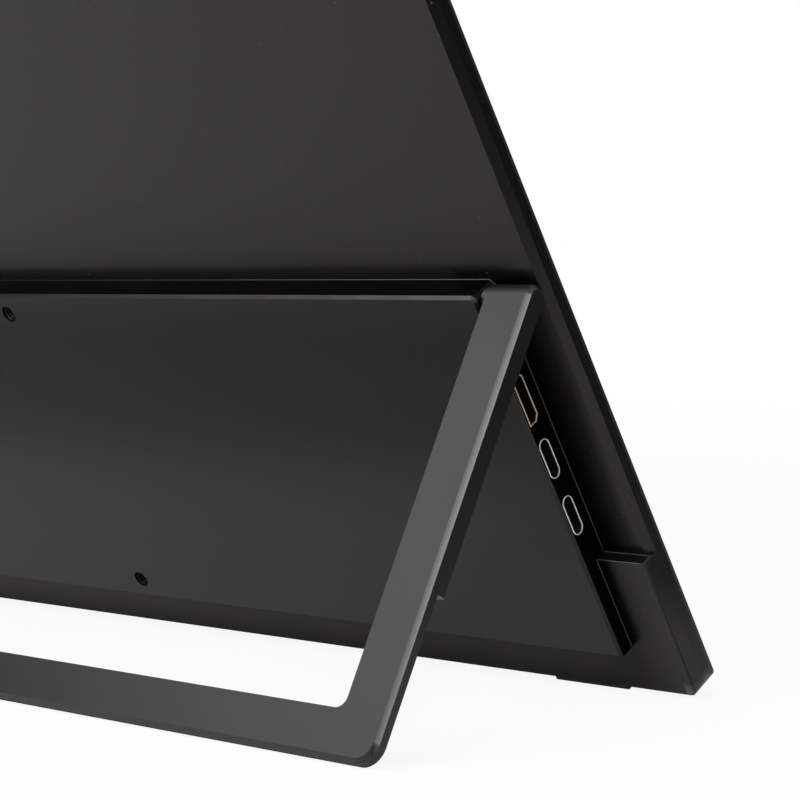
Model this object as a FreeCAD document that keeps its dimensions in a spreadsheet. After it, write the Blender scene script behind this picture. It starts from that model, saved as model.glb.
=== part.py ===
import FreeCAD, Part
import math
import os
import Sketcher

# A slim portable monitor that leans on a three-sided flat-bar stand.
# Every piece of the panel is drawn flat, as seen from behind: x to the right, y up from the bottom edge,
# z out of the back, with z = 0 on the thin panel's rear face. The stand is drawn folded, about its hinge.
# One placement leans the panel back, and a second one swings the stand open until both reach the floor.
SIZES = (
    ("panel_width", 392.8, "overall width"),
    ("panel_height", 238.0, "overall height of the panel"),
    ("corner_radius", 1.8, "panel corners, seen from behind"),
    ("tilt_angle", 30.2, "lean of the panel from upright, degrees"),
    ("front_depth", 4.75, "thin panel, rear face to front face"),
    ("bezel_thickness", 1.1, "front frame"),
    ("back_wall", 1.0, "wall of the rear shell behind the display"),
    ("side_wall", 1.4, "edge wall of the rear shell"),
    ("back_chamfer", 1.5, "bevel round the rear face"),
    ("front_chamfer", 0.4, "bevel round the front frame"),
    ("rim_rise", 2.7, "raised rim above the rear face"),
    ("rim_end", 33.0, "top of the rim's arms above the bottom edge"),
    ("rim_wall", 0.7, "rim wall beside the housing"),
    ("rim_chamfer", 0.3, "bevel on the rim's outer edges"),
    ("channel_width", 12.2, "channel beside the housing, for a stand leg"),
    ("box_foot", 11.1, "housing's lower edge above the bottom edge"),
    ("box_rise", 6.5, "housing above the rear face"),
    ("cover_wall", 0.6, "walls of the housing's cover"),
    ("box_edge_chamfer", 0.6, "bevel round the cover's face"),
    ("box_corner_chamfer", 1.0, "cut upper corners of the cover"),
    ("fit_gap", 0.1, "clearance between pieces that stay put"),
    ("shaft_gap", 0.05, "radial running clearance of shafts and pins"),
    ("running_gap", 0.3, "clearance of the stand over the panel"),
    ("cut_overrun", 1.0, "how far cuts run past a face"),
    ("vesa_pitch", 75.0, "mount hole spacing, both ways"),
    ("vesa_margin", 5.1, "mount holes from the housing's edges"),
    ("vesa_bore", 4.0, "mount hole diameter"),
    ("insert_diameter", 6.0, "threaded insert"),
    ("insert_wall", 1.5, "wall of a boss round its insert"),
    ("boss_wall", 1.2, "wall of a boss round a screw"),
    ("tongue_wall", 0.8, "front frame's tongue"),
    ("tongue_depth", 1.0, "reach of the tongue into the shell"),
    ("bezel_side", 5.0, "front frame beside the picture"),
    ("bezel_top", 5.5, "front frame above the picture"),
    ("bezel_chin", 17.5, "front frame below the picture"),
    ("window_chamfer", 0.4, "bevel round the picture"),
    ("module_gap", 0.6, "room round the display module"),
    ("module_lift", 1.3, "display module above the housing's lower edge"),
    ("tray_wall", 0.3, "sheet of the display tray"),
    ("cell_thickness", 0.8, "display glass"),
    ("film_thickness", 0.3, "optical films"),
    ("guide_thickness", 0.6, "light guide"),
    ("reflector_thickness", 0.2, "reflector sheet"),
    ("led_depth", 3.6, "light strip, along the panel"),
    ("led_base", 0.2, "carrier of the light strip"),
    ("led_length", 5.0, "one lamp of the light strip"),
    ("tape_width", 10.0, "adhesive tape under the tray"),
    ("tcon_side", 46.4, "display driver board from the panel's sides"),
    ("tcon_width", 7.0, "display driver board"),
    ("tcon_thickness", 0.8, "display driver board"),
    ("cable_width", 26.0, "display cable"),
    ("cable_thickness", 0.3, "display cable"),
    ("cable_inset", 6.0, "display cable from the main board's inner end"),
    ("connector_depth", 4.0, "display cable's connector"),
    ("board_thickness", 1.0, "main board and key board"),
    ("board_gap", 9.3, "main board from the mount bosses"),
    ("board_margin", 14.0, "main board past the outer sockets"),
    ("chip_rise", 1.2, "chips above the main board"),
    ("chip_side", 13.0, "chips on the main board"),
    ("spreader_thickness", 0.5, "heat spreader on the chips"),
    ("screw_diameter", 1.9, "small screws"),
    ("screw_head", 3.6, "head of the board screws"),
    ("screw_head_rise", 0.8, "head of the board screws"),
    ("flat_head", 4.0, "head of the cover screws"),
    ("flat_head_rise", 0.5, "head of the cover screws"),
    ("screw_side", 29.5, "lower cover screws from the housing's sides"),
    ("screw_bite", 3.0, "thread length in the cover's bosses"),
    ("usb_length", 8.94, "USB-C socket, along the panel"),
    ("usb_height", 3.16, "USB-C socket"),
    ("usb_depth", 7.3, "USB-C socket"),
    ("socket_gap", 0.2, "sockets below the cover's roof"),
    ("socket_wall", 0.3, "sheet of the sockets' shells"),
    ("socket_back", 1.2, "closed back of the sockets"),
    ("usb_tongue_width", 6.6, "USB-C tongue"),
    ("usb_tongue_thickness", 0.7, "USB-C tongue"),
    ("tongue_setback", 1.4, "sockets' tongues behind the opening"),
    ("usb_first", 33.6, "lower USB-C socket above the housing's lower edge"),
    ("usb_pitch", 13.45, "distance between the USB-C sockets"),
    ("hdmi_pitch", 13.9, "mini HDMI above the upper USB-C"),
    ("hdmi_length", 11.2, "mini HDMI socket, along the panel"),
    ("hdmi_height", 3.1, "mini HDMI socket"),
    ("hdmi_bevel", 1.1, "mini HDMI socket's cut corners"),
    ("hdmi_depth", 7.5, "mini HDMI socket"),
    ("hdmi_tongue_width", 8.2, "mini HDMI tongue"),
    ("speaker_length", 34.0, "speaker, across the panel"),
    ("speaker_width", 14.0, "speaker, along the panel"),
    ("speaker_side", 56.2, "speaker's middle from the housing's side"),
    ("speaker_ring", 0.8, "speaker's frame round its cone"),
    ("speaker_sink", 0.9, "speaker's cone below its frame"),
    ("slot_length", 4.0, "one sound slot"),
    ("slot_height", 1.6, "one sound slot"),
    ("slot_pitch", 5.6, "distance between sound slots"),
    ("jack_up", 27.5, "headphone jack above the housing's lower edge"),
    ("jack_width", 6.4, "headphone jack"),
    ("jack_height", 5.2, "headphone jack"),
    ("jack_depth", 12.0, "headphone jack"),
    ("jack_nose", 4.6, "round nose of the jack"),
    ("jack_bore", 3.6, "bore of the jack"),
    ("key_up", 36.5, "key board above the housing's lower edge"),
    ("key_length", 34.0, "key board, along the panel"),
    ("key_width", 14.0, "key board, across the panel"),
    ("key_setback", 2.2, "key board behind the cover's wall"),
    ("power_up", 43.5, "power button above the housing's lower edge"),
    ("rocker_up", 59.5, "menu rocker above the housing's lower edge"),
    ("button_length", 7.0, "power button, along the panel"),
    ("button_height", 2.6, "power button and rocker"),
    ("button_proud", 0.6, "power button and rocker outside the wall"),
    ("button_gap", 0.15, "clearance of a button in its hole"),
    ("button_travel", 0.4, "stroke of the power button"),
    ("flange_lip", 0.25, "power button's flange past its hole"),
    ("flange_thickness", 0.7, "power button's flange"),
    ("stem_length", 0.7, "stem of a button"),
    ("stem_diameter", 1.6, "stem of a button"),
    ("rocker_length", 15.0, "menu rocker, along the panel"),
    ("rocker_swing", 0.3, "extra clearance at the rocker's ends"),
    ("rocker_reach", 5.0, "rocker's stems from its pin"),
    ("pin_diameter", 1.0, "rocker's pin"),
    ("pin_setback", 2.3, "rocker's pin behind the wall's outer face"),
    ("hub_wall", 0.7, "rocker's hub round its pin"),
    ("switch_depth", 3.4, "push switch, across the panel"),
    ("switch_width", 3.5, "push switch, along the panel"),
    ("switch_height", 2.4, "push switch"),
    ("plunger_length", 0.5, "push switch's plunger"),
    ("shaft_diameter", 2.5, "hinge shaft"),
    ("shaft_grip", 8.5, "hinge shaft inside a stand leg"),
    ("shaft_head", 0.3, "hinge shaft's head past its radius"),
    ("shaft_head_length", 1.0, "hinge shaft's head"),
    ("clip_wall", 0.45, "spring band round the hinge shaft"),
    ("clip_length", 11.0, "spring band along the shaft"),
    ("clip_tail", 10.0, "flat tail of the spring band"),
    ("clip_slit", 0.4, "slit where the band opens"),
    ("washer_wall", 0.9, "hinge washer round its bore"),
    ("leg_width", 10.6, "stand leg, seen from behind"),
    ("leg_thickness", 5.4, "stand leg beside the housing"),
    ("stand_inset", 0.1, "stand inside the panel's width"),
    ("step_gap", 1.7, "stand's thick part above the rim's arms"),
    ("bar_width", 9.3, "stand's cross bar"),
    ("bar_gap", 0.3, "folded cross bar below the housing"),
    ("stand_radius", 4.2, "stand's outer corners"),
    ("stand_inner_radius", 2.3, "stand's inner corners"),
    ("stand_bevel", 0.9, "bevel round the stand's outer edge"),
    ("foot_length", 19.6, "rubber foot, across the panel"),
    ("foot_depth", 4.0, "rubber foot, through the panel"),
    ("foot_height", 0.8, "rubber foot below the bottom edge"),
    ("foot_inset", 0.3, "rubber foot from the rim's rear face"),
    ("foot_side", 18.1, "rubber foot from the panel's side"),
)
# Lengths closer than this count as equal when edges are picked.
SAME = 1e-4
LAMP_COUNT = 24
SLOT_COUNT = 5
# Places along a length, as shares of it.
COVER_SCREW_SHARES = (0.66, 0.0, -0.66)
CHIP_SHARES = ((0.3, 0.42), (0.62, 0.62))
TAPE_SHARES = (0.52, 0.86)
BOARD_SCREW_SHARES = ((0.06, 0.1), (0.06, 0.9), (0.72, 0.9), (0.72, 0.1))
CLIP_SCREW_SHARES = (0.25, 0.75)
VESA_SHARES = (0.5, -0.5)


class Size:
    """A length with its value and with the sheet formula that binds it."""

    def __init__(self, value, text):
        self.value = float(value)
        self.text = text

    def joined(self, sign, other, value):
        return Size(value, "(%s %s %s)" % (self.text, sign, other.text))

    def __add__(self, other):
        return self.joined("+", other, self.value + other.value)

    def __sub__(self, other):
        return self.joined("-", other, self.value - other.value)

    def __mul__(self, share):
        return self.joined("*", Size(share, repr(share)), self.value * share)

    def __truediv__(self, count):
        return self.joined("/", Size(count, repr(count)), self.value / count)

    def __neg__(self):
        return ZERO - self


class Named:
    """The sheet's sizes by name."""


ZERO = Size(0, "0")
AXIS_X = FreeCAD.Vector(1, 0, 0)
AXIS_Z = FreeCAD.Vector(0, 0, 1)
doc = FreeCAD.newDocument("portable_monitor")
d = Named()
nodes = []


def fill_sheet():
    sheet = doc.addObject("Spreadsheet::Sheet", "sizes")
    for row, (name, value, note) in enumerate(SIZES, start=1):
        sheet.set("A%d" % row, note)
        sheet.set("B%d" % row, str(value))
        sheet.setAlias("B%d" % row, name)
        setattr(d, name, Size(value, "sizes." + name))
    doc.recompute()


def derive_sizes():
    """Places that several pieces share."""
    d.half_width = d.panel_width / 2
    d.joint_level = d.bezel_thickness - d.front_depth
    d.box_half = d.half_width - d.channel_width
    d.box_height = d.vesa_pitch + d.vesa_margin * 2
    d.box_top = d.box_foot + d.box_height
    d.box_middle = d.box_foot + d.box_height / 2
    d.box_inside = d.box_half - d.cover_wall - d.fit_gap
    d.roof = d.box_rise - d.cover_wall
    d.shaft_radius = d.shaft_diameter / 2
    d.clip_radius = d.shaft_radius + d.shaft_gap + d.clip_wall
    d.hinge_up = d.box_top - d.cover_wall - d.fit_gap - d.clip_radius
    d.hinge_out = d.running_gap + d.leg_thickness / 2
    d.stand_half = d.half_width - d.stand_inset
    d.leg_inside = d.stand_half - d.leg_width
    d.bar_top = d.box_foot - d.bar_gap - d.hinge_up
    d.bar_foot = d.bar_top - d.bar_width
    d.module_half = d.half_width - d.side_wall - d.fit_gap - d.tongue_wall - d.module_gap
    d.module_top = d.panel_height - d.side_wall - d.fit_gap - d.tongue_wall - d.module_gap
    d.module_foot = d.box_foot + d.module_lift
    d.socket_out = d.roof - d.socket_gap - d.usb_height / 2
    d.jack_out = d.roof - d.socket_gap - d.jack_height / 2
    d.board_face = d.socket_out - d.usb_height / 2
    d.board_front = d.board_face - d.board_thickness
    d.usb_low = d.box_foot + d.usb_first
    d.usb_high = d.usb_low + d.usb_pitch
    d.hdmi_up = d.usb_high + d.hdmi_pitch
    d.board_right = d.box_inside - d.fit_gap
    d.board_left = d.vesa_pitch / 2 + d.insert_diameter / 2 + d.fit_gap + d.insert_wall + d.board_gap
    d.board_width = d.board_right - d.board_left
    d.cable_offset = d.board_left + d.cable_inset + d.cable_width / 2
    d.board_foot = d.usb_low - d.board_margin
    d.board_top = d.hdmi_up + d.board_margin / 2
    d.tcon_level = d.rim_rise - d.back_wall - d.tcon_thickness
    d.cable_level = d.tcon_level - d.cable_thickness
    d.key_side = d.box_inside - d.key_setback
    d.rocker_at = d.box_foot + d.rocker_up
    d.power_at = d.box_foot + d.power_up
    d.pin_side = d.box_half - d.pin_setback
    d.speaker_offset = d.box_half - d.speaker_side
    d.screw_radius = d.screw_diameter / 2
    d.screw_hole = d.screw_radius + d.shaft_gap
    d.button_back = d.box_inside - d.flange_thickness
    d.plunger_tip = d.button_back - d.stem_length - d.button_travel - d.fit_gap


def new_body(label):
    body = doc.addObject("PartDesign::Body", label)
    body.Label = label
    return body


def new_sketch(body, role, level):
    plane = next(item for item in body.Origin.OriginFeatures if item.Role == role)
    sketch = body.newObject("Sketcher::SketchObject", "sketch")
    sketch.AttachmentSupport = (plane, [""])
    sketch.MapMode = "FlatFace"
    sketch.setExpression("AttachmentOffset.Base.z", level.text)
    return sketch


def rule(sketch, kind, size, *items):
    number = sketch.addConstraint(Sketcher.Constraint(kind, *items, size.value))
    sketch.setExpression("Constraints[%d]" % number, size.text)


def place(sketch, item, point, x, y):
    rule(sketch, "DistanceX", x, -1, 1, item, point)
    rule(sketch, "DistanceY", y, -1, 1, item, point)


def polygon(sketch, corners):
    first = sketch.GeometryCount
    points = [FreeCAD.Vector(x.value, y.value, 0) for x, y in corners]
    for start, end in zip(points, points[1:] + points[:1]):
        sketch.addGeometry(Part.LineSegment(start, end), False)
    for index, (x, y) in enumerate(corners):
        before = first + (index - 1) % len(corners)
        sketch.addConstraint(Sketcher.Constraint("Coincident", before, 2, first + index, 1))
        place(sketch, first + index, 1, x, y)


def rectangle(sketch, x0, x1, y0, y1):
    polygon(sketch, ((x0, y0), (x1, y0), (x1, y1), (x0, y1)))


def circle(sketch, x, y, radius):
    centre = FreeCAD.Vector(x.value, y.value, 0)
    number = sketch.addGeometry(Part.Circle(centre, AXIS_Z, radius.value), False)
    place(sketch, number, 3, x, y)
    rule(sketch, "Radius", radius, number)


def stadium(sketch, x, y, length, width):
    """A slot with round ends, long along the sketch's x axis, centred on x, y."""
    radius = width / 2
    reach = (length - width) / 2
    start, end, high, low = x - reach, x + reach, y + radius, y - radius
    arcs = []
    for centre, turn in ((start, math.pi / 2), (end, -math.pi / 2)):
        ring = Part.Circle(FreeCAD.Vector(centre.value, y.value, 0), AXIS_Z, radius.value)
        arcs.append(sketch.addGeometry(Part.ArcOfCircle(ring, turn, turn + math.pi), False))
        place(sketch, arcs[-1], 3, centre, y)
        rule(sketch, "Radius", radius, arcs[-1])
    lines = []
    for first, last, level in ((end, start, high), (start, end, low)):
        ends = [FreeCAD.Vector(spot.value, level.value, 0) for spot in (first, last)]
        lines.append(sketch.addGeometry(Part.LineSegment(*ends), False))
    chain = ((arcs[1], lines[0]), (lines[0], arcs[0]), (arcs[0], lines[1]), (lines[1], arcs[1]))
    for item, following in chain:
        sketch.addConstraint(Sketcher.Constraint("Tangent", item, 2, following, 1))


def pad(body, sketch, length):
    """Grow a profile along its plane's normal."""
    feature = body.newObject("PartDesign::Pad", "pad")
    feature.Profile = sketch
    feature.setExpression("Length", length.text)
    return feature


def cut(body, sketch, length):
    """Cut a profile along its plane's normal, and make sure that it removed material."""
    doc.recompute()
    before = body.Tip.Shape.Volume
    feature = body.newObject("PartDesign::Pocket", "cut")
    feature.Profile = sketch
    feature.Reversed = True
    feature.setExpression("Length", length.text)
    doc.recompute()
    if not feature.Shape.Volume < before:
        raise RuntimeError("a cut in %s removed nothing" % body.Label)


def dress(body, kind, measure, size, wanted):
    """Round or bevel the edges that a test picks."""
    doc.recompute()
    base = body.Tip
    names = ["Edge%d" % number for number, edge in enumerate(base.Shape.Edges, start=1) if wanted(edge)]
    feature = body.newObject("PartDesign::" + kind, kind.lower())
    feature.Base = (base, names)
    feature.setExpression(measure, size.text)


def same(first, second):
    return abs(first - second) < SAME


def upright_at(edge, places):
    """True for a straight edge along z at one of the places."""
    box = edge.BoundBox
    flat = same(box.XMin, box.XMax) and same(box.YMin, box.YMax)
    return flat and any(same(box.XMin, x.value) and same(box.YMin, y.value) for x, y in places)


def level_at(edge, level):
    box = edge.BoundBox
    return same(box.ZMin, level.value) and same(box.ZMax, level.value)


def on_outline(edge, level):
    """True for an edge of the panel's own outline at a level, but not for the ends of the rim."""
    box = edge.BoundBox
    side = same(box.XMin, box.XMax) and same(abs(box.XMin), d.half_width.value)
    end = same(box.YMin, box.YMax) and (same(box.YMin, 0) or same(box.YMin, d.panel_height.value))
    return level_at(edge, level) and (side or end or isinstance(edge.Curve, Part.Circle))


def panel_corners():
    return [(x, y) for x in (-d.half_width, d.half_width) for y in (ZERO, d.panel_height)]


def add_block(body, x0, x1, y0, y1, z0, z1):
    sketch = new_sketch(body, "XY_Plane", z0)
    rectangle(sketch, x0, x1, y0, y1)
    return pad(body, sketch, z1 - z0)


def add_posts(body, places, radius, z0, z1):
    sketch = new_sketch(body, "XY_Plane", z0)
    for x, y in places:
        circle(sketch, x, y, radius)
    return pad(body, sketch, z1 - z0)


def cut_block(body, x0, x1, y0, y1, z0, z1):
    sketch = new_sketch(body, "XY_Plane", z0)
    rectangle(sketch, x0, x1, y0, y1)
    cut(body, sketch, z1 - z0)


def cut_holes(body, places, radius, z0, z1):
    sketch = new_sketch(body, "XY_Plane", z0)
    for x, y in places:
        circle(sketch, x, y, radius)
    cut(body, sketch, z1 - z0)


def finish(body, placement):
    body.Placement = placement
    nodes.append(body)


def block(label, x0, x1, y0, y1, z0, z1):
    body = new_body(label)
    add_block(body, x0, x1, y0, y1, z0, z1)
    finish(body, panel_placement())


def panel_placement():
    """Lean the flat panel back, with its feet on the floor and its footprint centred."""
    lean = math.radians(d.tilt_angle.value)
    sine, cosine = math.sin(lean), math.cos(lean)
    foot_out = d.rim_rise.value - d.foot_inset.value
    up = d.foot_height.value * cosine + foot_out * sine
    rear = (d.panel_height.value - d.back_chamfer.value) * sine
    front = d.front_chamfer.value * sine - d.front_depth.value * cosine
    back = -(rear + front) / 2
    rows = (-1, 0, 0, 0), (0, sine, cosine, back), (0, cosine, -sine, up), (0, 0, 0, 1)
    return FreeCAD.Placement(FreeCAD.Matrix(*rows[0], *rows[1], *rows[2], *rows[3]))


def stand_placement():
    """Swing the stand out of the folded place until its cross bar meets the floor."""
    panel = panel_placement()
    hinge = FreeCAD.Vector(0, d.hinge_up.value, d.hinge_out.value)
    height = panel.multVec(hinge).z
    reach = -d.bar_foot.value
    inner = d.leg_thickness.value / 2 - (d.leg_thickness - d.rim_rise).value
    leg = math.degrees(math.acos(height / math.hypot(reach, inner)) - math.atan2(inner, reach))
    swing = FreeCAD.Rotation(AXIS_X, -(leg + d.tilt_angle.value))
    return panel.multiply(FreeCAD.Placement(hinge, swing))


def cover_screw_places():
    inset = d.cover_wall + d.boss_wall + d.flat_head
    upper = [(d.box_half * share, d.box_top - inset) for share in COVER_SCREW_SHARES]
    lower = [((d.box_half - d.screw_side) * side, d.box_foot + inset) for side in (1, -1)]
    return upper + lower


def board_screw_places():
    height = d.board_top - d.board_foot
    return [(d.board_left + d.board_width * across, d.board_foot + height * along)
            for across, along in BOARD_SCREW_SHARES]


def clip_span(side):
    """The spring band's two ends along the hinge, inner end first, on one side of the panel."""
    outer = d.box_inside
    return (outer - d.clip_length) * side, outer * side


def clip_screw_places():
    along = d.hinge_up - d.clip_tail + d.flat_head / 2
    return [((d.box_inside - d.clip_length * share) * side, along)
            for side in (1, -1) for share in CLIP_SCREW_SHARES]


def key_post_places():
    along = d.box_foot + d.key_up
    across = -(d.key_side - d.key_width + d.flat_head / 2)
    return [(across, along + d.flat_head / 2), (across, along + d.key_length - d.flat_head / 2)]


def vesa_places():
    return [(d.vesa_pitch * across, d.box_middle + d.vesa_pitch * along)
            for across in VESA_SHARES for along in VESA_SHARES]


def rear_shell():
    """Two-level back: a thin tray with a raised U-shaped rim round the housing's lower half."""
    body = new_body("rear_shell")
    add_block(body, -d.half_width, d.half_width, ZERO, d.panel_height, d.joint_level, ZERO)
    inner = d.box_half + d.fit_gap
    sill = d.box_foot - d.fit_gap
    rim = new_sketch(body, "XY_Plane", d.joint_level)
    polygon(rim, ((-d.half_width, ZERO), (d.half_width, ZERO), (d.half_width, d.rim_end), (inner, d.rim_end),
                  (inner, sill), (-inner, sill), (-inner, d.rim_end), (-d.half_width, d.rim_end)))
    pad(body, rim, d.rim_rise - d.joint_level)
    dress(body, "Fillet", "Radius", d.corner_radius, lambda edge: upright_at(edge, panel_corners()))
    dress(body, "Chamfer", "Size", d.back_chamfer, lambda edge: on_outline(edge, ZERO))
    dress(body, "Chamfer", "Size", d.rim_chamfer, lambda edge: on_outline(edge, d.rim_rise))
    cut_block(body, d.side_wall - d.half_width, d.half_width - d.side_wall, d.side_wall,
              d.panel_height - d.side_wall, d.joint_level, -d.back_wall)
    cut_block(body, d.side_wall - d.half_width, d.half_width - d.side_wall, d.side_wall,
              sill - d.rim_wall, -d.back_wall, d.rim_rise - d.back_wall)
    cable_half = d.cable_width / 2 + d.fit_gap
    cut_block(body, d.cable_offset - cable_half, d.cable_offset + cable_half, sill - d.rim_wall - d.fit_gap,
              sill + d.fit_gap, d.cable_level - d.fit_gap, d.tcon_level + d.fit_gap)
    posts = board_screw_places() + key_post_places()
    add_posts(body, posts, d.screw_hole + d.boss_wall, ZERO, d.board_front)
    seat = d.hinge_out - d.clip_radius
    for side in (1, -1):
        near, far = clip_span(side)
        tail = d.hinge_up - d.clip_tail
        add_block(body, near, far, tail, d.hinge_up - d.clip_radius - d.fit_gap, ZERO, seat)
    pin = [(-d.pin_side, d.rocker_at)]
    add_posts(body, pin, d.pin_diameter / 2 + d.shaft_gap + d.hub_wall, ZERO, d.board_front - d.fit_gap)
    cut_holes(body, pin, d.pin_diameter / 2 + d.shaft_gap, ZERO, d.board_front)
    cut_holes(body, posts, d.screw_hole, ZERO, d.board_front)
    cut_holes(body, clip_screw_places(), d.screw_hole, ZERO, seat)
    cut_holes(body, cover_screw_places(), d.screw_hole, -d.back_wall, ZERO)
    cut_holes(body, cover_screw_places(), d.flat_head / 2 + d.fit_gap, -d.back_wall,
              d.flat_head_rise - d.back_wall)
    finish(body, panel_placement())


def port_holes(body):
    """Socket openings in the wall on the port side."""
    wall = new_sketch(body, "YZ_Plane", d.box_half - d.cover_wall - d.cut_overrun)
    for up in (d.usb_low, d.usb_high):
        stadium(wall, up, d.socket_out, d.usb_length + d.fit_gap * 2, d.usb_height + d.fit_gap * 2)
    polygon(wall, hdmi_outline(d.fit_gap))
    cut(body, wall, d.cover_wall + d.cut_overrun * 2)


def key_holes(body):
    """Openings for the jack, the power button and the rocker in the other wall."""
    wall = new_sketch(body, "YZ_Plane", -(d.box_half + d.cut_overrun))
    circle(wall, d.box_foot + d.jack_up, d.jack_out, d.jack_nose / 2 + d.fit_gap)
    height = d.button_height + d.button_gap * 2
    stadium(wall, d.power_at, d.socket_out, d.button_length + d.button_gap * 2, height)
    stadium(wall, d.rocker_at, d.socket_out, d.rocker_length + (d.button_gap + d.rocker_swing) * 2, height)
    cut(body, wall, d.cover_wall + d.cut_overrun * 2)


def sound_slots(body):
    """A row of slots in the housing's lower wall for each speaker, above the rim."""
    low = d.rim_rise + d.running_gap
    for side in (1, -1):
        slots = new_sketch(body, "XY_Plane", low)
        for number in range(SLOT_COUNT):
            middle = d.speaker_offset * side + d.slot_pitch * (number - (SLOT_COUNT - 1) / 2)
            rectangle(slots, middle - d.slot_length / 2, middle + d.slot_length / 2,
                      d.box_foot - d.fit_gap, d.box_foot + d.cover_wall + d.fit_gap)
        cut(body, slots, d.slot_height)


def box_cover():
    """Raised housing: a shallow tub with bevelled edges, open towards the shell."""
    body = new_body("box_cover")
    add_block(body, -d.box_half, d.box_half, d.box_foot, d.box_top, ZERO, d.box_rise)
    corners = [(x, d.box_top) for x in (-d.box_half, d.box_half)]
    dress(body, "Chamfer", "Size", d.box_corner_chamfer, lambda edge: upright_at(edge, corners))
    dress(body, "Chamfer", "Size", d.box_edge_chamfer, lambda edge: level_at(edge, d.box_rise))
    cut_block(body, d.cover_wall - d.box_half, d.box_half - d.cover_wall, d.box_foot + d.cover_wall,
              d.box_top - d.cover_wall, ZERO, d.roof)
    add_posts(body, vesa_places(), d.insert_diameter / 2 + d.fit_gap + d.insert_wall, ZERO, d.roof)
    add_posts(body, cover_screw_places(), d.screw_hole + d.boss_wall, ZERO, d.roof)
    cut_holes(body, vesa_places(), d.insert_diameter / 2 + d.fit_gap, ZERO, d.roof)
    cut_holes(body, vesa_places(), d.vesa_bore / 2 + d.fit_gap, d.roof, d.box_rise)
    cut_holes(body, cover_screw_places(), d.screw_hole, ZERO, d.screw_bite + d.fit_gap)
    port_holes(body)
    key_holes(body)
    sound_slots(body)
    for side in (d.box_half - d.cover_wall - d.cut_overrun, -(d.box_half + d.cut_overrun)):
        wall = new_sketch(body, "YZ_Plane", side)
        circle(wall, d.hinge_up, d.hinge_out, d.shaft_radius + d.shaft_gap * 2)
        cut(body, wall, d.cover_wall + d.cut_overrun * 2)
    cable_half = d.cable_width / 2 + d.fit_gap
    cut_block(body, d.cable_offset - cable_half, d.cable_offset + cable_half, d.box_foot - d.fit_gap,
              d.box_foot + d.cover_wall + d.fit_gap, ZERO, d.tcon_level + d.fit_gap)
    finish(body, panel_placement())


def front_bezel():
    """Front frame round the picture, with a tongue that locates it in the shell."""
    body = new_body("front_bezel")
    frame = new_sketch(body, "XY_Plane", -d.front_depth)
    side = d.half_width - d.bezel_side
    rectangle(frame, -d.half_width, d.half_width, ZERO, d.panel_height)
    rectangle(frame, -side, side, d.bezel_chin, d.panel_height - d.bezel_top)
    pad(body, frame, d.bezel_thickness)
    dress(body, "Fillet", "Radius", d.corner_radius, lambda edge: upright_at(edge, panel_corners()))
    dress(body, "Chamfer", "Size", d.front_chamfer, lambda edge: level_at(edge, -d.front_depth))
    tongue = new_sketch(body, "XY_Plane", d.joint_level)
    for inset in (d.side_wall + d.fit_gap, d.side_wall + d.fit_gap + d.tongue_wall):
        rectangle(tongue, inset - d.half_width, d.half_width - inset, inset, d.panel_height - inset)
    pad(body, tongue, d.tongue_depth)
    finish(body, panel_placement())


def display_module():
    """Display glass, films, light guide and reflector stacked in a sheet-metal tray."""
    inner = d.module_half - d.tray_wall - d.fit_gap
    top = d.module_top - d.tray_wall - d.fit_gap
    foot = d.module_foot + d.tray_wall + d.fit_gap
    sheet_foot = foot + d.led_depth + d.fit_gap
    level = d.joint_level
    layers = (("lcd_cell", foot, d.cell_thickness), ("optical_films", sheet_foot, d.film_thickness),
              ("light_guide", sheet_foot, d.guide_thickness),
              ("reflector_sheet", sheet_foot, d.reflector_thickness))
    for label, low, thickness in layers:
        block(label, -inner, inner, low, top, level, level + thickness)
        level = level + thickness
    tray = new_body("panel_tray")
    add_block(tray, -d.module_half, d.module_half, d.module_foot, d.module_top, d.joint_level,
              level + d.tray_wall)
    cut_block(tray, d.tray_wall - d.module_half, d.module_half - d.tray_wall, d.module_foot + d.tray_wall,
              d.module_top - d.tray_wall, d.joint_level, level)
    finish(tray, panel_placement())
    led_strip(inner, foot, level)
    tape = new_body("panel_tape")
    for share in TAPE_SHARES:
        low = d.panel_height * share
        add_block(tape, -inner, inner, low, low + d.tape_width, level + d.tray_wall, -d.back_wall)
    finish(tape, panel_placement())


def led_strip(inner, foot, level):
    """A carrier along the light guide's lower edge with a row of lamps on it."""
    body = new_body("led_strip")
    add_block(body, -inner, inner, foot, foot + d.led_depth, level - d.led_base, level)
    lamps = new_sketch(body, "XY_Plane", d.joint_level + d.cell_thickness + d.film_thickness)
    for number in range(LAMP_COUNT):
        middle = inner * ((2 * number + 1) / LAMP_COUNT - 1)
        rectangle(lamps, middle - d.led_length / 2, middle + d.led_length / 2, foot + d.led_depth / 2,
                  foot + d.led_depth)
    pad(body, lamps, d.guide_thickness)
    finish(body, panel_placement())


def tcon_board():
    """Display driver board in the chin, on the floor of the rim."""
    low = d.side_wall + d.fit_gap + d.tongue_wall + d.fit_gap
    half = d.half_width - d.tcon_side
    block("tcon_board", -half, half, low, low + d.tcon_width, d.tcon_level,
          d.tcon_level + d.tcon_thickness)
    left, right = d.cable_offset - d.cable_width / 2, d.cable_offset + d.cable_width / 2
    end = d.box_foot + d.cover_wall + d.connector_depth + d.fit_gap * 2
    block("display_cable", left, right, low + d.tcon_width / 2, end, d.cable_level, d.tcon_level)


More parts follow.
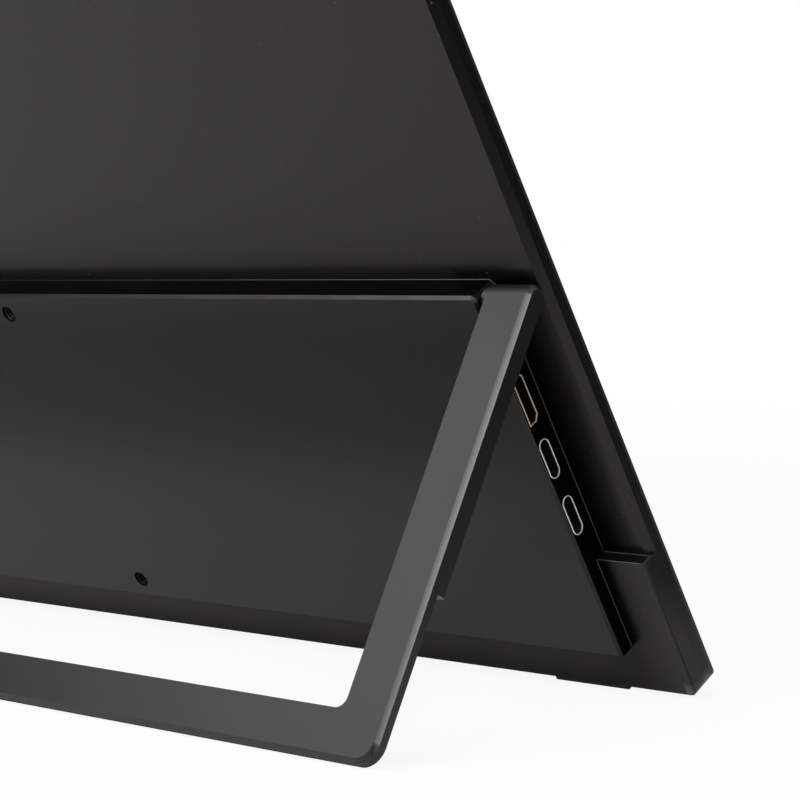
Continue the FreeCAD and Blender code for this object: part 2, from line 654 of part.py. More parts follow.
def main_board():
    """Board with the sockets on its edge and a tab that takes the display cable."""
    body = new_body("main_board")
    tab_left, tab_right = d.cable_offset - d.cable_width / 2, d.cable_offset + d.cable_width / 2
    tab_foot = d.box_foot + d.cover_wall + d.fit_gap * 2
    plan = new_sketch(body, "XY_Plane", d.board_front)
    polygon(plan, ((d.board_left, d.board_foot), (tab_left, d.board_foot), (tab_left, tab_foot),
                   (tab_right, tab_foot), (tab_right, d.board_foot), (d.board_right, d.board_foot),
                   (d.board_right, d.board_top), (d.board_left, d.board_top)))
    pad(body, plan, d.board_thickness)
    add_block(body, tab_left, tab_right, tab_foot, tab_foot + d.connector_depth, d.tcon_level, d.board_front)
    for x, y in chip_places():
        add_block(body, x, x + d.chip_side, y, y + d.chip_side, d.board_face, d.board_face + d.chip_rise)
    cut_holes(body, board_screw_places(), d.screw_hole, d.board_front, d.board_face)
    finish(body, panel_placement())
    heat_spreader()
    screws("board_screws", board_screw_places() + key_post_places(), d.board_face, ZERO)


def chip_places():
    height = d.board_top - d.board_foot
    return [(d.board_left + d.board_width * across, d.board_foot + height * along - d.chip_side / 2)
            for across, along in CHIP_SHARES]


def heat_spreader():
    """Aluminium plate that lies on both chips."""
    places = chip_places()
    level = d.board_face + d.chip_rise
    block("heat_spreader", places[0][0], places[1][0] + d.chip_side, places[0][1], places[1][1] + d.chip_side,
          level, level + d.spreader_thickness)


def screws(label, places, seat, tip):
    """Pan-head screws whose heads sit on a face."""
    body = new_body(label)
    add_posts(body, places, d.screw_radius, tip, seat)
    add_posts(body, places, d.screw_head / 2, seat, seat + d.screw_head_rise)
    finish(body, panel_placement())


def usb_c_socket(label, up):
    """Seamless oval shell with a thin tongue, closed at the back."""
    body = new_body(label)
    shell = new_sketch(body, "YZ_Plane", d.box_half - d.usb_depth)
    stadium(shell, up, d.socket_out, d.usb_length, d.usb_height)
    pad(body, shell, d.usb_depth)
    hollow = new_sketch(body, "YZ_Plane", d.box_half - d.usb_depth + d.socket_back)
    wall = d.socket_wall * 2
    stadium(hollow, up, d.socket_out, d.usb_length - wall, d.usb_height - wall)
    cut(body, hollow, d.usb_depth)
    tongue = new_sketch(body, "YZ_Plane", d.box_half - d.usb_depth + d.socket_back)
    half, rise = d.usb_tongue_width / 2, d.usb_tongue_thickness / 2
    rectangle(tongue, up - half, up + half, d.socket_out - rise, d.socket_out + rise)
    pad(body, tongue, d.usb_depth - d.socket_back - d.tongue_setback)
    finish(body, panel_placement())


def hdmi_outline(growth):
    """The socket's outline, with its two cut corners towards the board, grown by a clearance."""
    left = d.hdmi_up - d.hdmi_length / 2 - growth
    right = d.hdmi_up + d.hdmi_length / 2 + growth
    low = d.board_face - growth
    high = d.board_face + d.hdmi_height + growth
    return ((left + d.hdmi_bevel, low), (right - d.hdmi_bevel, low), (right, low + d.hdmi_bevel),
            (right, high), (left, high), (left, low + d.hdmi_bevel))


def mini_hdmi_socket():
    """Folded shell with two cut corners and a flat tongue."""
    body = new_body("mini_hdmi_socket")
    shell = new_sketch(body, "YZ_Plane", d.box_half - d.hdmi_depth)
    polygon(shell, hdmi_outline(ZERO))
    pad(body, shell, d.hdmi_depth)
    hollow = new_sketch(body, "YZ_Plane", d.box_half - d.hdmi_depth + d.socket_back)
    polygon(hollow, hdmi_outline(-d.socket_wall))
    cut(body, hollow, d.hdmi_depth)
    tongue = new_sketch(body, "YZ_Plane", d.box_half - d.hdmi_depth + d.socket_back)
    half, rise = d.hdmi_tongue_width / 2, d.usb_tongue_thickness / 2
    middle = d.board_face + d.hdmi_height / 2
    rectangle(tongue, d.hdmi_up - half, d.hdmi_up + half, middle - rise, middle + rise)
    pad(body, tongue, d.hdmi_depth - d.socket_back - d.tongue_setback)
    finish(body, panel_placement())


def headphone_jack():
    """Block with a round nose in the wall and a bore for the plug."""
    body = new_body("headphone_jack")
    up, out = d.box_foot + d.jack_up, d.jack_out
    half = d.jack_width / 2
    add_block(body, -d.box_inside, d.jack_depth - d.box_inside, up - half, up + half, ZERO,
              out + d.jack_height / 2)
    nose = new_sketch(body, "YZ_Plane", -d.box_half)
    circle(nose, up, out, d.jack_nose / 2)
    pad(body, nose, d.box_half - d.box_inside)
    bore = new_sketch(body, "YZ_Plane", -(d.box_half + d.cut_overrun))
    circle(bore, up, out, d.jack_bore / 2)
    cut(body, bore, d.jack_depth)
    finish(body, panel_placement())


def speaker(label, side):
    """Flat boxed speaker with a sunken oval cone."""
    body = new_body(label)
    low = d.box_foot + d.cover_wall + d.fit_gap
    middle = d.speaker_offset * side
    half = d.speaker_length / 2
    height = d.roof - d.fit_gap
    add_block(body, middle - half, middle + half, low, low + d.speaker_width, ZERO, height)
    cone = new_sketch(body, "XY_Plane", height - d.speaker_sink)
    ring = d.speaker_ring * 2
    stadium(cone, middle, low + d.speaker_width / 2, d.speaker_length - ring, d.speaker_width - ring)
    cut(body, cone, d.speaker_sink + d.cut_overrun)
    finish(body, panel_placement())


def key_board():
    """Small board behind the buttons, with the push switches on it."""
    body = new_body("key_board")
    low = d.box_foot + d.key_up
    add_block(body, -d.key_side, d.key_width - d.key_side, low, low + d.key_length, d.board_front,
              d.board_face)
    cut_holes(body, key_post_places(), d.screw_hole, d.board_front, d.board_face)
    finish(body, panel_placement())
    switches("power_switch", (d.power_at,))
    switches("menu_switches", (d.rocker_at - d.rocker_reach, d.rocker_at + d.rocker_reach))


def switches(label, heights):
    """Side-push switches with round plungers."""
    body = new_body(label)
    face = d.plunger_length - d.plunger_tip
    half = d.switch_width / 2
    for up in heights:
        add_block(body, face, face + d.switch_depth, up - half, up + half, d.board_face,
                  d.board_face + d.switch_height)
    plungers = new_sketch(body, "YZ_Plane", -d.plunger_tip)
    for up in heights:
        circle(plungers, up, d.board_face + d.switch_height / 2, d.stem_diameter / 2)
    pad(body, plungers, d.plunger_length)
    finish(body, panel_placement())


def power_button():
    """Oval push button kept in by a flange, with a stem for its switch."""
    body = new_body("power_button")
    cap = new_sketch(body, "YZ_Plane", -(d.box_half + d.button_proud))
    stadium(cap, d.power_at, d.socket_out, d.button_length, d.button_height)
    pad(body, cap, d.box_half + d.button_proud - d.box_inside)
    flange = new_sketch(body, "YZ_Plane", -d.box_inside)
    lip = (d.button_gap + d.flange_lip) * 2
    stadium(flange, d.power_at, d.socket_out, d.button_length + lip, d.button_height + lip)
    pad(body, flange, d.flange_thickness)
    stem = new_sketch(body, "YZ_Plane", -d.button_back)
    circle(stem, d.power_at, d.board_face + d.switch_height / 2, d.stem_diameter / 2)
    pad(body, stem, d.stem_length)
    finish(body, panel_placement())


def menu_rocker():
    """Oval rocker on a pin through its hub, with a stem for each menu switch."""
    body = new_body("menu_rocker")
    cap = new_sketch(body, "YZ_Plane", -(d.box_half + d.button_proud))
    stadium(cap, d.rocker_at, d.socket_out, d.rocker_length, d.button_height)
    pad(body, cap, d.box_half + d.button_proud - d.button_back)
    stems = new_sketch(body, "YZ_Plane", -d.button_back)
    for up in (d.rocker_at - d.rocker_reach, d.rocker_at + d.rocker_reach):
        circle(stems, up, d.board_face + d.switch_height / 2, d.stem_diameter / 2)
    pad(body, stems, d.stem_length)
    low, high = d.socket_out - d.button_height / 2, d.socket_out + d.button_height / 2
    hub = [(-d.pin_side, d.rocker_at)]
    bore = d.pin_diameter / 2 + d.shaft_gap
    add_posts(body, hub, bore + d.hub_wall, low, high)
    cut_holes(body, hub, bore, low, high)
    finish(body, panel_placement())
    pin = new_body("rocker_pin")
    add_posts(pin, hub, d.pin_diameter / 2, ZERO, d.roof)
    finish(pin, panel_placement())


def hinge_clip(label, side):
    """Spring-steel band that grips the shaft and turns it stiff, with a flat tail for two screws."""
    body = new_body(label)
    near, far = sorted(clip_span(side), key=lambda size: size.value)
    band = new_sketch(body, "YZ_Plane", near)
    circle(band, d.hinge_up, d.hinge_out, d.clip_radius)
    pad(body, band, far - near)
    seat = d.hinge_out - d.clip_radius
    add_block(body, near, far, d.hinge_up - d.clip_tail, d.hinge_up, seat, seat + d.clip_wall)
    bore = new_sketch(body, "YZ_Plane", near - d.cut_overrun)
    circle(bore, d.hinge_up, d.hinge_out, d.shaft_radius + d.shaft_gap)
    cut(body, bore, far - near + d.cut_overrun * 2)
    slit = new_sketch(body, "YZ_Plane", near - d.cut_overrun)
    rectangle(slit, d.hinge_up - d.clip_radius - d.cut_overrun, d.hinge_up - d.shaft_radius,
              seat + d.clip_wall, seat + d.clip_wall + d.clip_slit)
    cut(body, slit, far - near + d.cut_overrun * 2)
    holes = [spot for spot in clip_screw_places() if spot[0].value * side > 0]
    cut_holes(body, holes, d.screw_hole, seat, seat + d.clip_wall)
    finish(body, panel_placement())


def hinge_washer(label, side):
    """Thin washer between the housing's wall and the stand leg."""
    body = new_body(label)
    near, far = d.box_half, d.leg_inside - d.shaft_gap * 2
    start = near if side > 0 else -far
    bore = d.shaft_radius + d.shaft_gap
    for radius, grow in ((bore + d.washer_wall, pad), (bore, cut)):
        ring = new_sketch(body, "YZ_Plane", start)
        circle(ring, d.hinge_up, d.hinge_out, radius)
        grow(body, ring, far - near)
    finish(body, panel_placement())


def hinge_shaft(label, side):
    """Steel shaft, pressed into the leg at one end and headed behind the spring band at the other."""
    body = new_body(label)
    head = d.box_inside - d.clip_length - d.fit_gap
    tip = d.leg_inside + d.shaft_grip
    inner = head - d.shaft_head_length
    spans = ((d.shaft_radius, inner, tip), (d.shaft_radius + d.shaft_head, inner, head))
    for radius, near, far in spans:
        profile = new_sketch(body, "YZ_Plane", near if side > 0 else -far)
        circle(profile, ZERO, ZERO, radius)
        pad(body, profile, far - near)
    finish(body, stand_placement())


def stand_frame():
    """Three-sided stand: legs thick beside the housing, thin over the rim, and a flat cross bar."""
    body = new_body("stand_frame")
    half = d.leg_thickness / 2
    inner = half - (d.leg_thickness - d.rim_rise)
    plan = new_sketch(body, "XY_Plane", inner)
    polygon(plan, ((-d.stand_half, ZERO), (-d.stand_half, d.bar_foot), (d.stand_half, d.bar_foot),
                   (d.stand_half, ZERO), (d.leg_inside, ZERO), (d.leg_inside, d.bar_top),
                   (-d.leg_inside, d.bar_top), (-d.leg_inside, ZERO)))
    pad(body, plan, half - inner)
    step = d.rim_end + d.step_gap - d.hinge_up
    outer = [(x, d.bar_foot) for x in (-d.stand_half, d.stand_half)]
    throat = [(x, d.bar_top) for x in (-d.leg_inside, d.leg_inside)]
    dress(body, "Fillet", "Radius", d.stand_radius, lambda edge: upright_at(edge, outer))
    dress(body, "Fillet", "Radius", d.stand_inner_radius, lambda edge: upright_at(edge, throat))
    for start, end in ((-d.stand_half, -d.leg_inside), (d.leg_inside, d.stand_half)):
        add_block(body, start, end, step, ZERO, -half, inner)
        knuckle = new_sketch(body, "YZ_Plane", start)
        circle(knuckle, ZERO, ZERO, half)
        pad(body, knuckle, end - start)
    dress(body, "Chamfer", "Size", d.stand_bevel, lambda edge: on_stand_outline(edge, half))
    for start in (-(d.leg_inside + d.shaft_grip), d.leg_inside):
        bore = new_sketch(body, "YZ_Plane", start)
        circle(bore, ZERO, ZERO, d.shaft_radius)
        cut(body, bore, d.shaft_grip)
    finish(body, stand_placement())


def on_stand_outline(edge, level):
    """True for the outer edges of the stand's face and of its legs' round ends."""
    box = edge.BoundBox
    side = same(box.XMin, box.XMax) and same(abs(box.XMin), d.stand_half.value)
    round_end = side and isinstance(edge.Curve, Part.Circle)
    straight = level_at(edge, level) and (side or same(box.YMax, d.bar_foot.value))
    corner = level_at(edge, level) and isinstance(edge.Curve, Part.Circle)
    return round_end or straight or corner and same(edge.Curve.Radius, d.stand_radius.value)


def small_fixings():
    """Threaded inserts, cover screws, spring band screws and the rubber feet."""
    inserts = new_body("vesa_inserts")
    add_posts(inserts, vesa_places(), d.insert_diameter / 2, ZERO, d.roof)
    cut_holes(inserts, vesa_places(), d.vesa_bore / 2, ZERO, d.roof)
    finish(inserts, panel_placement())
    flat = new_body("cover_screws")
    add_posts(flat, cover_screw_places(), d.flat_head / 2, -d.back_wall, d.flat_head_rise - d.back_wall)
    add_posts(flat, cover_screw_places(), d.screw_radius, d.flat_head_rise - d.back_wall, d.screw_bite)
    finish(flat, panel_placement())
    screws("clip_screws", clip_screw_places(), d.hinge_out - d.clip_radius + d.clip_wall, ZERO)
    feet = new_body("rubber_feet")
    rear = d.rim_rise - d.foot_inset
    near = d.half_width - d.foot_side - d.foot_length
    for start in (near, -(near + d.foot_length)):
        add_block(feet, start, start + d.foot_length, -d.foot_height, ZERO, rear - d.foot_depth, rear)
    finish(feet, panel_placement())


def build():
    fill_sheet()
    derive_sizes()
    rear_shell()
    box_cover()
    front_bezel()
    display_module()
    tcon_board()
    main_board()
    usb_c_socket("usb_c_socket_upper", d.usb_high)
    usb_c_socket("usb_c_socket_lower", d.usb_low)
    mini_hdmi_socket()
    headphone_jack()
    key_board()
    power_button()
    menu_rocker()
    for name, side in (("right", 1), ("left", -1)):
        speaker("speaker_" + name, side)
        hinge_clip("hinge_clip_" + name, side)
        hinge_washer("hinge_washer_" + name, side)
        hinge_shaft("hinge_shaft_" + name, side)
    stand_frame()
    small_fixings()
    doc.recompute()


def write_parts():
    for item in doc.Objects:
        if "Invalid" in item.State or "Error" in item.State:
            raise RuntimeError("%s failed: %s" % (item.Label, item.State))
    for body in nodes:
        if body.Shape.isNull() or not body.Shape.isValid():
            raise RuntimeError("%s has no valid shape" % body.Label)
    os.makedirs("parts", exist_ok=True)
    for body in nodes:
        body.Shape.exportStep("parts/%s.step" % body.Label)


build()
write_parts()
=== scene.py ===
import math
import bpy
import numpy as np
from mathutils import Matrix, Vector


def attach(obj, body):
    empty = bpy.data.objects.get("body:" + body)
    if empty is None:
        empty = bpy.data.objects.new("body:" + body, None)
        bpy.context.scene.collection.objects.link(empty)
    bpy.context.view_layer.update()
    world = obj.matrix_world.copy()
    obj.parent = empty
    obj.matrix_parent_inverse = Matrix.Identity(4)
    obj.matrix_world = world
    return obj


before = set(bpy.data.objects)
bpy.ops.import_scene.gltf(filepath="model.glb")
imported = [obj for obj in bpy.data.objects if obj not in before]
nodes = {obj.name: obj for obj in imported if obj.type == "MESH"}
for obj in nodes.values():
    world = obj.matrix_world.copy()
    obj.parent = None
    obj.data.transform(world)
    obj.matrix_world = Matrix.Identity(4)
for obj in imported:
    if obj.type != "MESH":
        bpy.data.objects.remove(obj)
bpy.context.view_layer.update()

# Front frame round the picture: a thin moulded plastic ring that clips into the shell with its tongue.
# Its skin is a fine spark-eroded texture, with a faint painted highlight along the edges.


def node_after(tree, kind, place, **settings):
    """A node of the tree, set out in columns and rows, with its own settings."""
    column_width, row_height = 200, 160
    node = tree.nodes.new(kind)
    node.location = (place[0] * column_width, -place[1] * row_height)
    for name, value in settings.items():
        setattr(node, name, value)
    return node


def wired(tree, *pairs):
    """Links each output to the input beside it; a plain number or row of numbers is set on the input instead."""
    for out, into in pairs:
        if isinstance(out, bpy.types.NodeSocket):
            tree.links.new(out, into)
        else:
            into.default_value = out


def new_group(name, inputs, outputs):
    """An empty shader node group with named sockets, and the sockets of its two end nodes."""
    tree = bpy.data.node_groups.new(name, "ShaderNodeTree")
    for way, sockets in (("INPUT", inputs), ("OUTPUT", outputs)):
        for socket, kind in sockets.items():
            tree.interface.new_socket(socket, in_out=way, socket_type="NodeSocket" + kind)
    given = node_after(tree, "NodeGroupInput", (0, 0)).outputs
    made = node_after(tree, "NodeGroupOutput", (9, 0)).inputs
    return tree, given, made


def skin_group():
    """Grain of a blasted or moulded skin. The colour is multiplied by one plus Spread times the sum, about zero,
    of a fine noise and a slow cloud; the roughness runs from Smooth to Rough with the cloud; the height is the
    fine noise."""
    tree, given, made = new_group(
        "skin grain",
        dict(Vector="Vector", Colour="Color", Spread="Float", Grain="Float", Cloud="Float", Smooth="Float",
             Rough="Float"),
        dict(Colour="Color", Roughness="Float", Height="Float"))
    fine_detail, cloud_detail, mean_sum = 2.0, 4.0, 1.0
    cloud_low, cloud_high = 0.3, 0.7
    fine = node_after(tree, "ShaderNodeTexNoise", (1, 0))
    cloud = node_after(tree, "ShaderNodeTexNoise", (1, 2))
    both = node_after(tree, "ShaderNodeMath", (2, 1), operation="ADD")
    level = node_after(tree, "ShaderNodeMath", (3, 1), operation="SUBTRACT")
    spread = node_after(tree, "ShaderNodeMath", (4, 1), operation="MULTIPLY_ADD")
    tint = node_after(tree, "ShaderNodeVectorMath", (5, 0), operation="SCALE")
    gloss = node_after(tree, "ShaderNodeMapRange", (5, 2))
    wired(tree,
          (given["Vector"], fine.inputs["Vector"]), (given["Grain"], fine.inputs["Scale"]),
          (fine_detail, fine.inputs["Detail"]), (given["Vector"], cloud.inputs["Vector"]),
          (given["Cloud"], cloud.inputs["Scale"]), (cloud_detail, cloud.inputs["Detail"]),
          (fine.outputs["Fac"], both.inputs[0]), (cloud.outputs["Fac"], both.inputs[1]),
          (both.outputs[0], level.inputs[0]), (mean_sum, level.inputs[1]),
          (level.outputs[0], spread.inputs[0]), (given["Spread"], spread.inputs[1]), (1.0, spread.inputs[2]),
          (given["Colour"], tint.inputs[0]), (spread.outputs[0], tint.inputs["Scale"]),
          (cloud.outputs["Fac"], gloss.inputs["Value"]),
          (cloud_low, gloss.inputs["From Min"]), (cloud_high, gloss.inputs["From Max"]),
          (given["Smooth"], gloss.inputs["To Min"]), (given["Rough"], gloss.inputs["To Max"]),
          (tint.outputs[0], made["Colour"]), (gloss.outputs[0], made["Roughness"]),
          (fine.outputs["Fac"], made["Height"]))
    return tree


def place_group(name, axes, origin):
    """Where a point lies on a flat piece, in millimetres: the three axes as rows and an origin turn the shared
    frame into the piece's own, and left and right are folded together."""
    tree, given, made = new_group(name, dict(Vector="Vector"), dict(Place="Vector"))
    to_millimetres = (1000.0, 1000.0, 1000.0)
    turned = node_after(tree, "ShaderNodeMapping", (1, 0))
    apart = node_after(tree, "ShaderNodeSeparateXYZ", (2, 0))
    fold = node_after(tree, "ShaderNodeMath", (3, 0), operation="ABSOLUTE")
    joined = node_after(tree, "ShaderNodeCombineXYZ", (4, 0))
    wired(tree,
          (given["Vector"], turned.inputs["Vector"]), (to_millimetres, turned.inputs["Scale"]),
          (Matrix(axes).to_euler(), turned.inputs["Rotation"]),
          (-(Matrix(axes) @ Vector(origin)), turned.inputs["Location"]),
          (turned.outputs[0], apart.inputs[0]), (apart.outputs["X"], fold.inputs[0]),
          (fold.outputs[0], joined.inputs["X"]), (apart.outputs["Y"], joined.inputs["Y"]),
          (apart.outputs["Z"], joined.inputs["Z"]), (joined.outputs[0], made["Place"]))
    return tree


def beyond(tree, given):
    """How far a point lies outside a block along each axis, less than zero inside: its distance from Centre less
    Half."""
    off = node_after(tree, "ShaderNodeVectorMath", (1, 0), operation="SUBTRACT")
    size = node_after(tree, "ShaderNodeVectorMath", (2, 0), operation="ABSOLUTE")
    past = node_after(tree, "ShaderNodeVectorMath", (3, 0), operation="SUBTRACT")
    wired(tree,
          (given["Vector"], off.inputs[0]), (given["Centre"], off.inputs[1]), (off.outputs[0], size.inputs[0]),
          (size.outputs[0], past.inputs[0]), (given["Half"], past.inputs[1]))
    return past.outputs[0]


def zone_group():
    """One inside a block and zero outside it, with a soft border along each axis: a half less the greatest share
    of Soft by which the point is outside."""
    tree, given, made = new_group(
        "zone", dict(Vector="Vector", Centre="Vector", Half="Vector", Soft="Vector"), dict(Mask="Float"))
    share = node_after(tree, "ShaderNodeVectorMath", (4, 0), operation="DIVIDE")
    apart = node_after(tree, "ShaderNodeSeparateXYZ", (5, 0))
    pair = node_after(tree, "ShaderNodeMath", (6, 0), operation="MAXIMUM")
    most = node_after(tree, "ShaderNodeMath", (7, 0), operation="MAXIMUM")
    mask = node_after(tree, "ShaderNodeMath", (8, 0), operation="SUBTRACT", use_clamp=True)
    wired(tree,
          (beyond(tree, given), share.inputs[0]), (given["Soft"], share.inputs[1]),
          (share.outputs[0], apart.inputs[0]), (apart.outputs["X"], pair.inputs[0]),
          (apart.outputs["Y"], pair.inputs[1]), (pair.outputs[0], most.inputs[0]),
          (apart.outputs["Z"], most.inputs[1]), (0.5, mask.inputs[0]), (most.outputs[0], mask.inputs[1]),
          (mask.outputs[0], made["Mask"]))
    return tree


def edge_highlight_group():
    """Painted highlight along the edges of a block: one where the second greatest of the three distances is zero,
    falling to zero over Reach, and broken by a noise."""
    tree, given, made = new_group(
        "painted edge highlight", dict(Vector="Vector", Centre="Vector", Half="Vector", Reach="Float"), dict(Mask="Float"))
    patch_scale, patch_detail = 0.12, 5.0
    patch_low, patch_high, least_highlight = 0.38, 0.62, 0.25
    apart = node_after(tree, "ShaderNodeSeparateXYZ", (4, 0))
    less = node_after(tree, "ShaderNodeMath", (5, 0), operation="MINIMUM")
    more = node_after(tree, "ShaderNodeMath", (5, 1), operation="MAXIMUM")
    third = node_after(tree, "ShaderNodeMath", (6, 1), operation="MINIMUM")
    second = node_after(tree, "ShaderNodeMath", (7, 0), operation="MAXIMUM")
    share = node_after(tree, "ShaderNodeMath", (7, 1), operation="DIVIDE")
    line = node_after(tree, "ShaderNodeMath", (8, 0), operation="ADD", use_clamp=True)
    patchy = node_after(tree, "ShaderNodeTexNoise", (6, 2))
    broken = node_after(tree, "ShaderNodeMapRange", (7, 2))
    mask = node_after(tree, "ShaderNodeMath", (8, 1), operation="MULTIPLY")
    wired(tree,
          (beyond(tree, given), apart.inputs[0]),
          (apart.outputs["X"], less.inputs[0]), (apart.outputs["Y"], less.inputs[1]),
          (apart.outputs["X"], more.inputs[0]), (apart.outputs["Y"], more.inputs[1]),
          (more.outputs[0], third.inputs[0]), (apart.outputs["Z"], third.inputs[1]),
          (less.outputs[0], second.inputs[0]), (third.outputs[0], second.inputs[1]),
          (second.outputs[0], share.inputs[0]), (given["Reach"], share.inputs[1]),
          (share.outputs[0], line.inputs[0]), (1.0, line.inputs[1]),
          (given["Vector"], patchy.inputs["Vector"]), (patch_scale, patchy.inputs["Scale"]),
          (patch_detail, patchy.inputs["Detail"]), (patchy.outputs["Fac"], broken.inputs["Value"]),
          (patch_low, broken.inputs["From Min"]), (patch_high, broken.inputs["From Max"]),
          (least_highlight, broken.inputs["To Min"]), (line.outputs[0], mask.inputs[0]),
          (broken.outputs[0], mask.inputs[1]), (mask.outputs[0], made["Mask"]))
    return tree


def dust_group():
    """Sparse specks of dust: one within Size of the middle of a cell of three millimetres, in the share of cells
    given."""
    tree, given, made = new_group("dust", dict(Vector="Vector", Size="Float", Share="Float"), dict(Mask="Float"))
    cells_a_millimetre = 0.33
    cells = node_after(tree, "ShaderNodeTexVoronoi", (1, 0))
    apart = node_after(tree, "ShaderNodeSeparateXYZ", (2, 1))
    near = node_after(tree, "ShaderNodeMath", (3, 0), operation="LESS_THAN")
    some = node_after(tree, "ShaderNodeMath", (3, 1), operation="LESS_THAN")
    mask = node_after(tree, "ShaderNodeMath", (4, 0), operation="MULTIPLY")
    wired(tree,
          (given["Vector"], cells.inputs["Vector"]), (cells_a_millimetre, cells.inputs["Scale"]),
          (cells.outputs["Distance"], near.inputs[0]), (given["Size"], near.inputs[1]),
          (cells.outputs["Color"], apart.inputs[0]), (apart.outputs["X"], some.inputs[0]),
          (given["Share"], some.inputs[1]), (near.outputs[0], mask.inputs[0]), (some.outputs[0], mask.inputs[1]),
          (mask.outputs[0], made["Mask"]))
    return tree


LEAN = math.radians(30.2)
PANEL = ((-1.0, 0.0, 0.0), (0.0, math.sin(LEAN), math.cos(LEAN)), (0.0, math.cos(LEAN), -math.sin(LEAN)))
PANEL_AT = (0.0, -57.5337, 1.8990)
SKIN, ZONE, EDGE_HIGHLIGHT, DUST = skin_group(), zone_group(), edge_highlight_group(), dust_group()
ON_PANEL = place_group("place on the panel", PANEL, PANEL_AT)


def grouped(tree, group, column, **values):
    """A group node of the material with its values, which are numbers, rows of numbers or sockets."""
    node = node_after(tree, "ShaderNodeGroup", (column, 0), node_tree=group)
    wired(tree, *((value, node.inputs[name]) for name, value in values.items()))
    return node.outputs


def mixed(tree, kind, mask, before, after, column):
    """What was there where the mask is zero, and the new value where it is one."""
    mix = node_after(tree, "ShaderNodeMix", (column, 2), data_type=kind)
    first, made = (6, 2) if kind == "RGBA" else (2, 0)
    wired(tree, (mask, mix.inputs[0]), (before, mix.inputs[first]), (after, mix.inputs[first + 1]))
    return mix.outputs[made]


def zone(centre, half, soft, colour, rough, metal):
    """A block of a flat piece with a look of its own: its centre, half size and soft border along each axis, in
    millimetres, then its colour, roughness and metal."""
    return centre, half, soft, colour, rough, metal


def highlit_edges(centre, half, reach, colour, rough):
    """A block whose edges carry a painted highlight: its centre, half size and the reach of the highlight, in
    millimetres, then the colour and roughness of the highlight."""
    return centre, half, reach, colour, rough


def skinned(name, colour, spread, grain, cloud, gloss, bump, place=None, zones=(), edge=None, dust=None,
            **sockets):
    """A material from the skin group on the piece's own coordinates: gloss is its least and greatest roughness,
    and bump the strength and the height of its grain. Later zones lie over earlier ones, then come the painted
    highlights along the edges, then specks of dust of a size and a share. Plain numbers go on the shader's own
    sockets."""
    dust_colour, dust_rough = (0.09, 0.088, 0.082), 0.8
    material = bpy.data.materials.new(name)
    material.use_nodes = True
    tree = material.node_tree
    shader = tree.nodes["Principled BSDF"]
    for socket, value in sockets.items():
        shader.inputs[socket.replace("_", " ")].default_value = value
    where = node_after(tree, "ShaderNodeTexCoord", (-12, 0)).outputs["Object"]
    skin = grouped(tree, SKIN, -10, Vector=where, Colour=(*colour, 1.0), Spread=spread, Grain=grain, Cloud=cloud,
                   Smooth=gloss[0], Rough=gloss[1])
    tone, rough, metal = skin["Colour"], skin["Roughness"], shader.inputs["Metallic"].default_value
    masks = []
    if place:
        spot = grouped(tree, place, -11, Vector=where)["Place"]
        for centre, half, soft, *look in zones:
            covered = grouped(tree, ZONE, -9, Vector=spot, Centre=centre, Half=half, Soft=soft)
            masks.append((covered["Mask"], *look))
        if edge:
            centre, half, reach, *look = edge
            highlit = grouped(tree, EDGE_HIGHLIGHT, -8, Vector=spot, Centre=centre, Half=half, Reach=reach)
            masks.append((highlit["Mask"], *look, None))
        if dust:
            specks = grouped(tree, DUST, -7, Vector=spot, Size=dust[0], Share=dust[1])
            masks.append((specks["Mask"], dust_colour, dust_rough, None))
    for column, (mask, own_colour, own_rough, own_metal) in enumerate(masks, -6):
        tone = mixed(tree, "RGBA", mask, tone, (*own_colour, 1.0), column)
        rough = mixed(tree, "FLOAT", mask, rough, own_rough, column)
        if own_metal is not None:
            metal = mixed(tree, "FLOAT", mask, metal, own_metal, column)
    relief = node_after(tree, "ShaderNodeBump", (-2, 3))
    wired(tree,
          (tone, shader.inputs["Base Color"]), (rough, shader.inputs["Roughness"]),
          (metal, shader.inputs["Metallic"]), (bump[0], relief.inputs["Strength"]),
          (bump[1], relief.inputs["Distance"]), (skin["Height"], relief.inputs["Height"]),
          (relief.outputs["Normal"], shader.inputs["Normal"]))
    return material


def dressed(material, *names):
    """Gives one material to CAD nodes through their own material slots."""
    for name in names:
        for slot in nodes[name].material_slots:
            slot.material = material


half_width, height, joint, front = 196.4, 238.0, -3.65, -4.75
black = (0.0006, 0.0006, 0.0006)
seam = zone(centre=(0.0, height / 2, joint), half=(200.0, 125.0, 0.03), soft=(0.1, 0.1, 0.05), colour=black,
            rough=0.9, metal=0.0)
# A slightly lighter colour along the frame's edges: a painted highlight.
frame_edges = highlit_edges(centre=(0.0, height / 2, (joint + front) / 2),
                         half=(half_width, height / 2, (joint - front) / 2), reach=0.6,
                         colour=(0.014, 0.014, 0.0145), rough=0.34)
dressed(skinned("frame plastic", (0.012, 0.012, 0.0125), spread=0.25, grain=5200, cloud=60, gloss=(0.42, 0.52),
                bump=(0.25, 0.00004), place=ON_PANEL, zones=(seam,), edge=frame_edges, dust=(0.03, 0.15)),
        "front_bezel")

# Display: glass with a matt polariser, films, light guide and reflector in a sheet-metal tray with a lamp strip.
# Only the glass shows, through the frame: a black printed border round the slightly bluer field of the picture.
picture = zone(centre=(0.0, 124.4, -4.3), half=(189.6, 106.6, 1.0), soft=(0.2, 0.2, 0.2),
               colour=(0.0075, 0.008, 0.0105), rough=0.3, metal=0.0)
dressed(skinned("polariser", (0.0025, 0.0025, 0.003), spread=0.1, grain=9000, cloud=30, gloss=(0.22, 0.26),
                bump=(0.06, 0.00002), place=ON_PANEL, zones=(picture,), dust=(0.03, 0.1),
                Specular_IOR_Level=0.22), "lcd_cell")
dressed(skinned("clear sheet", (0.8, 0.82, 0.84), spread=0.03, grain=400, cloud=40, gloss=(0.15, 0.22),
                bump=(0.02, 0.00002)), "optical_films", "light_guide")
dressed(skinned("white sheet", (0.82, 0.82, 0.8), spread=0.04, grain=3000, cloud=60, gloss=(0.5, 0.6),
                bump=(0.05, 0.00002)), "reflector_sheet", "led_strip")
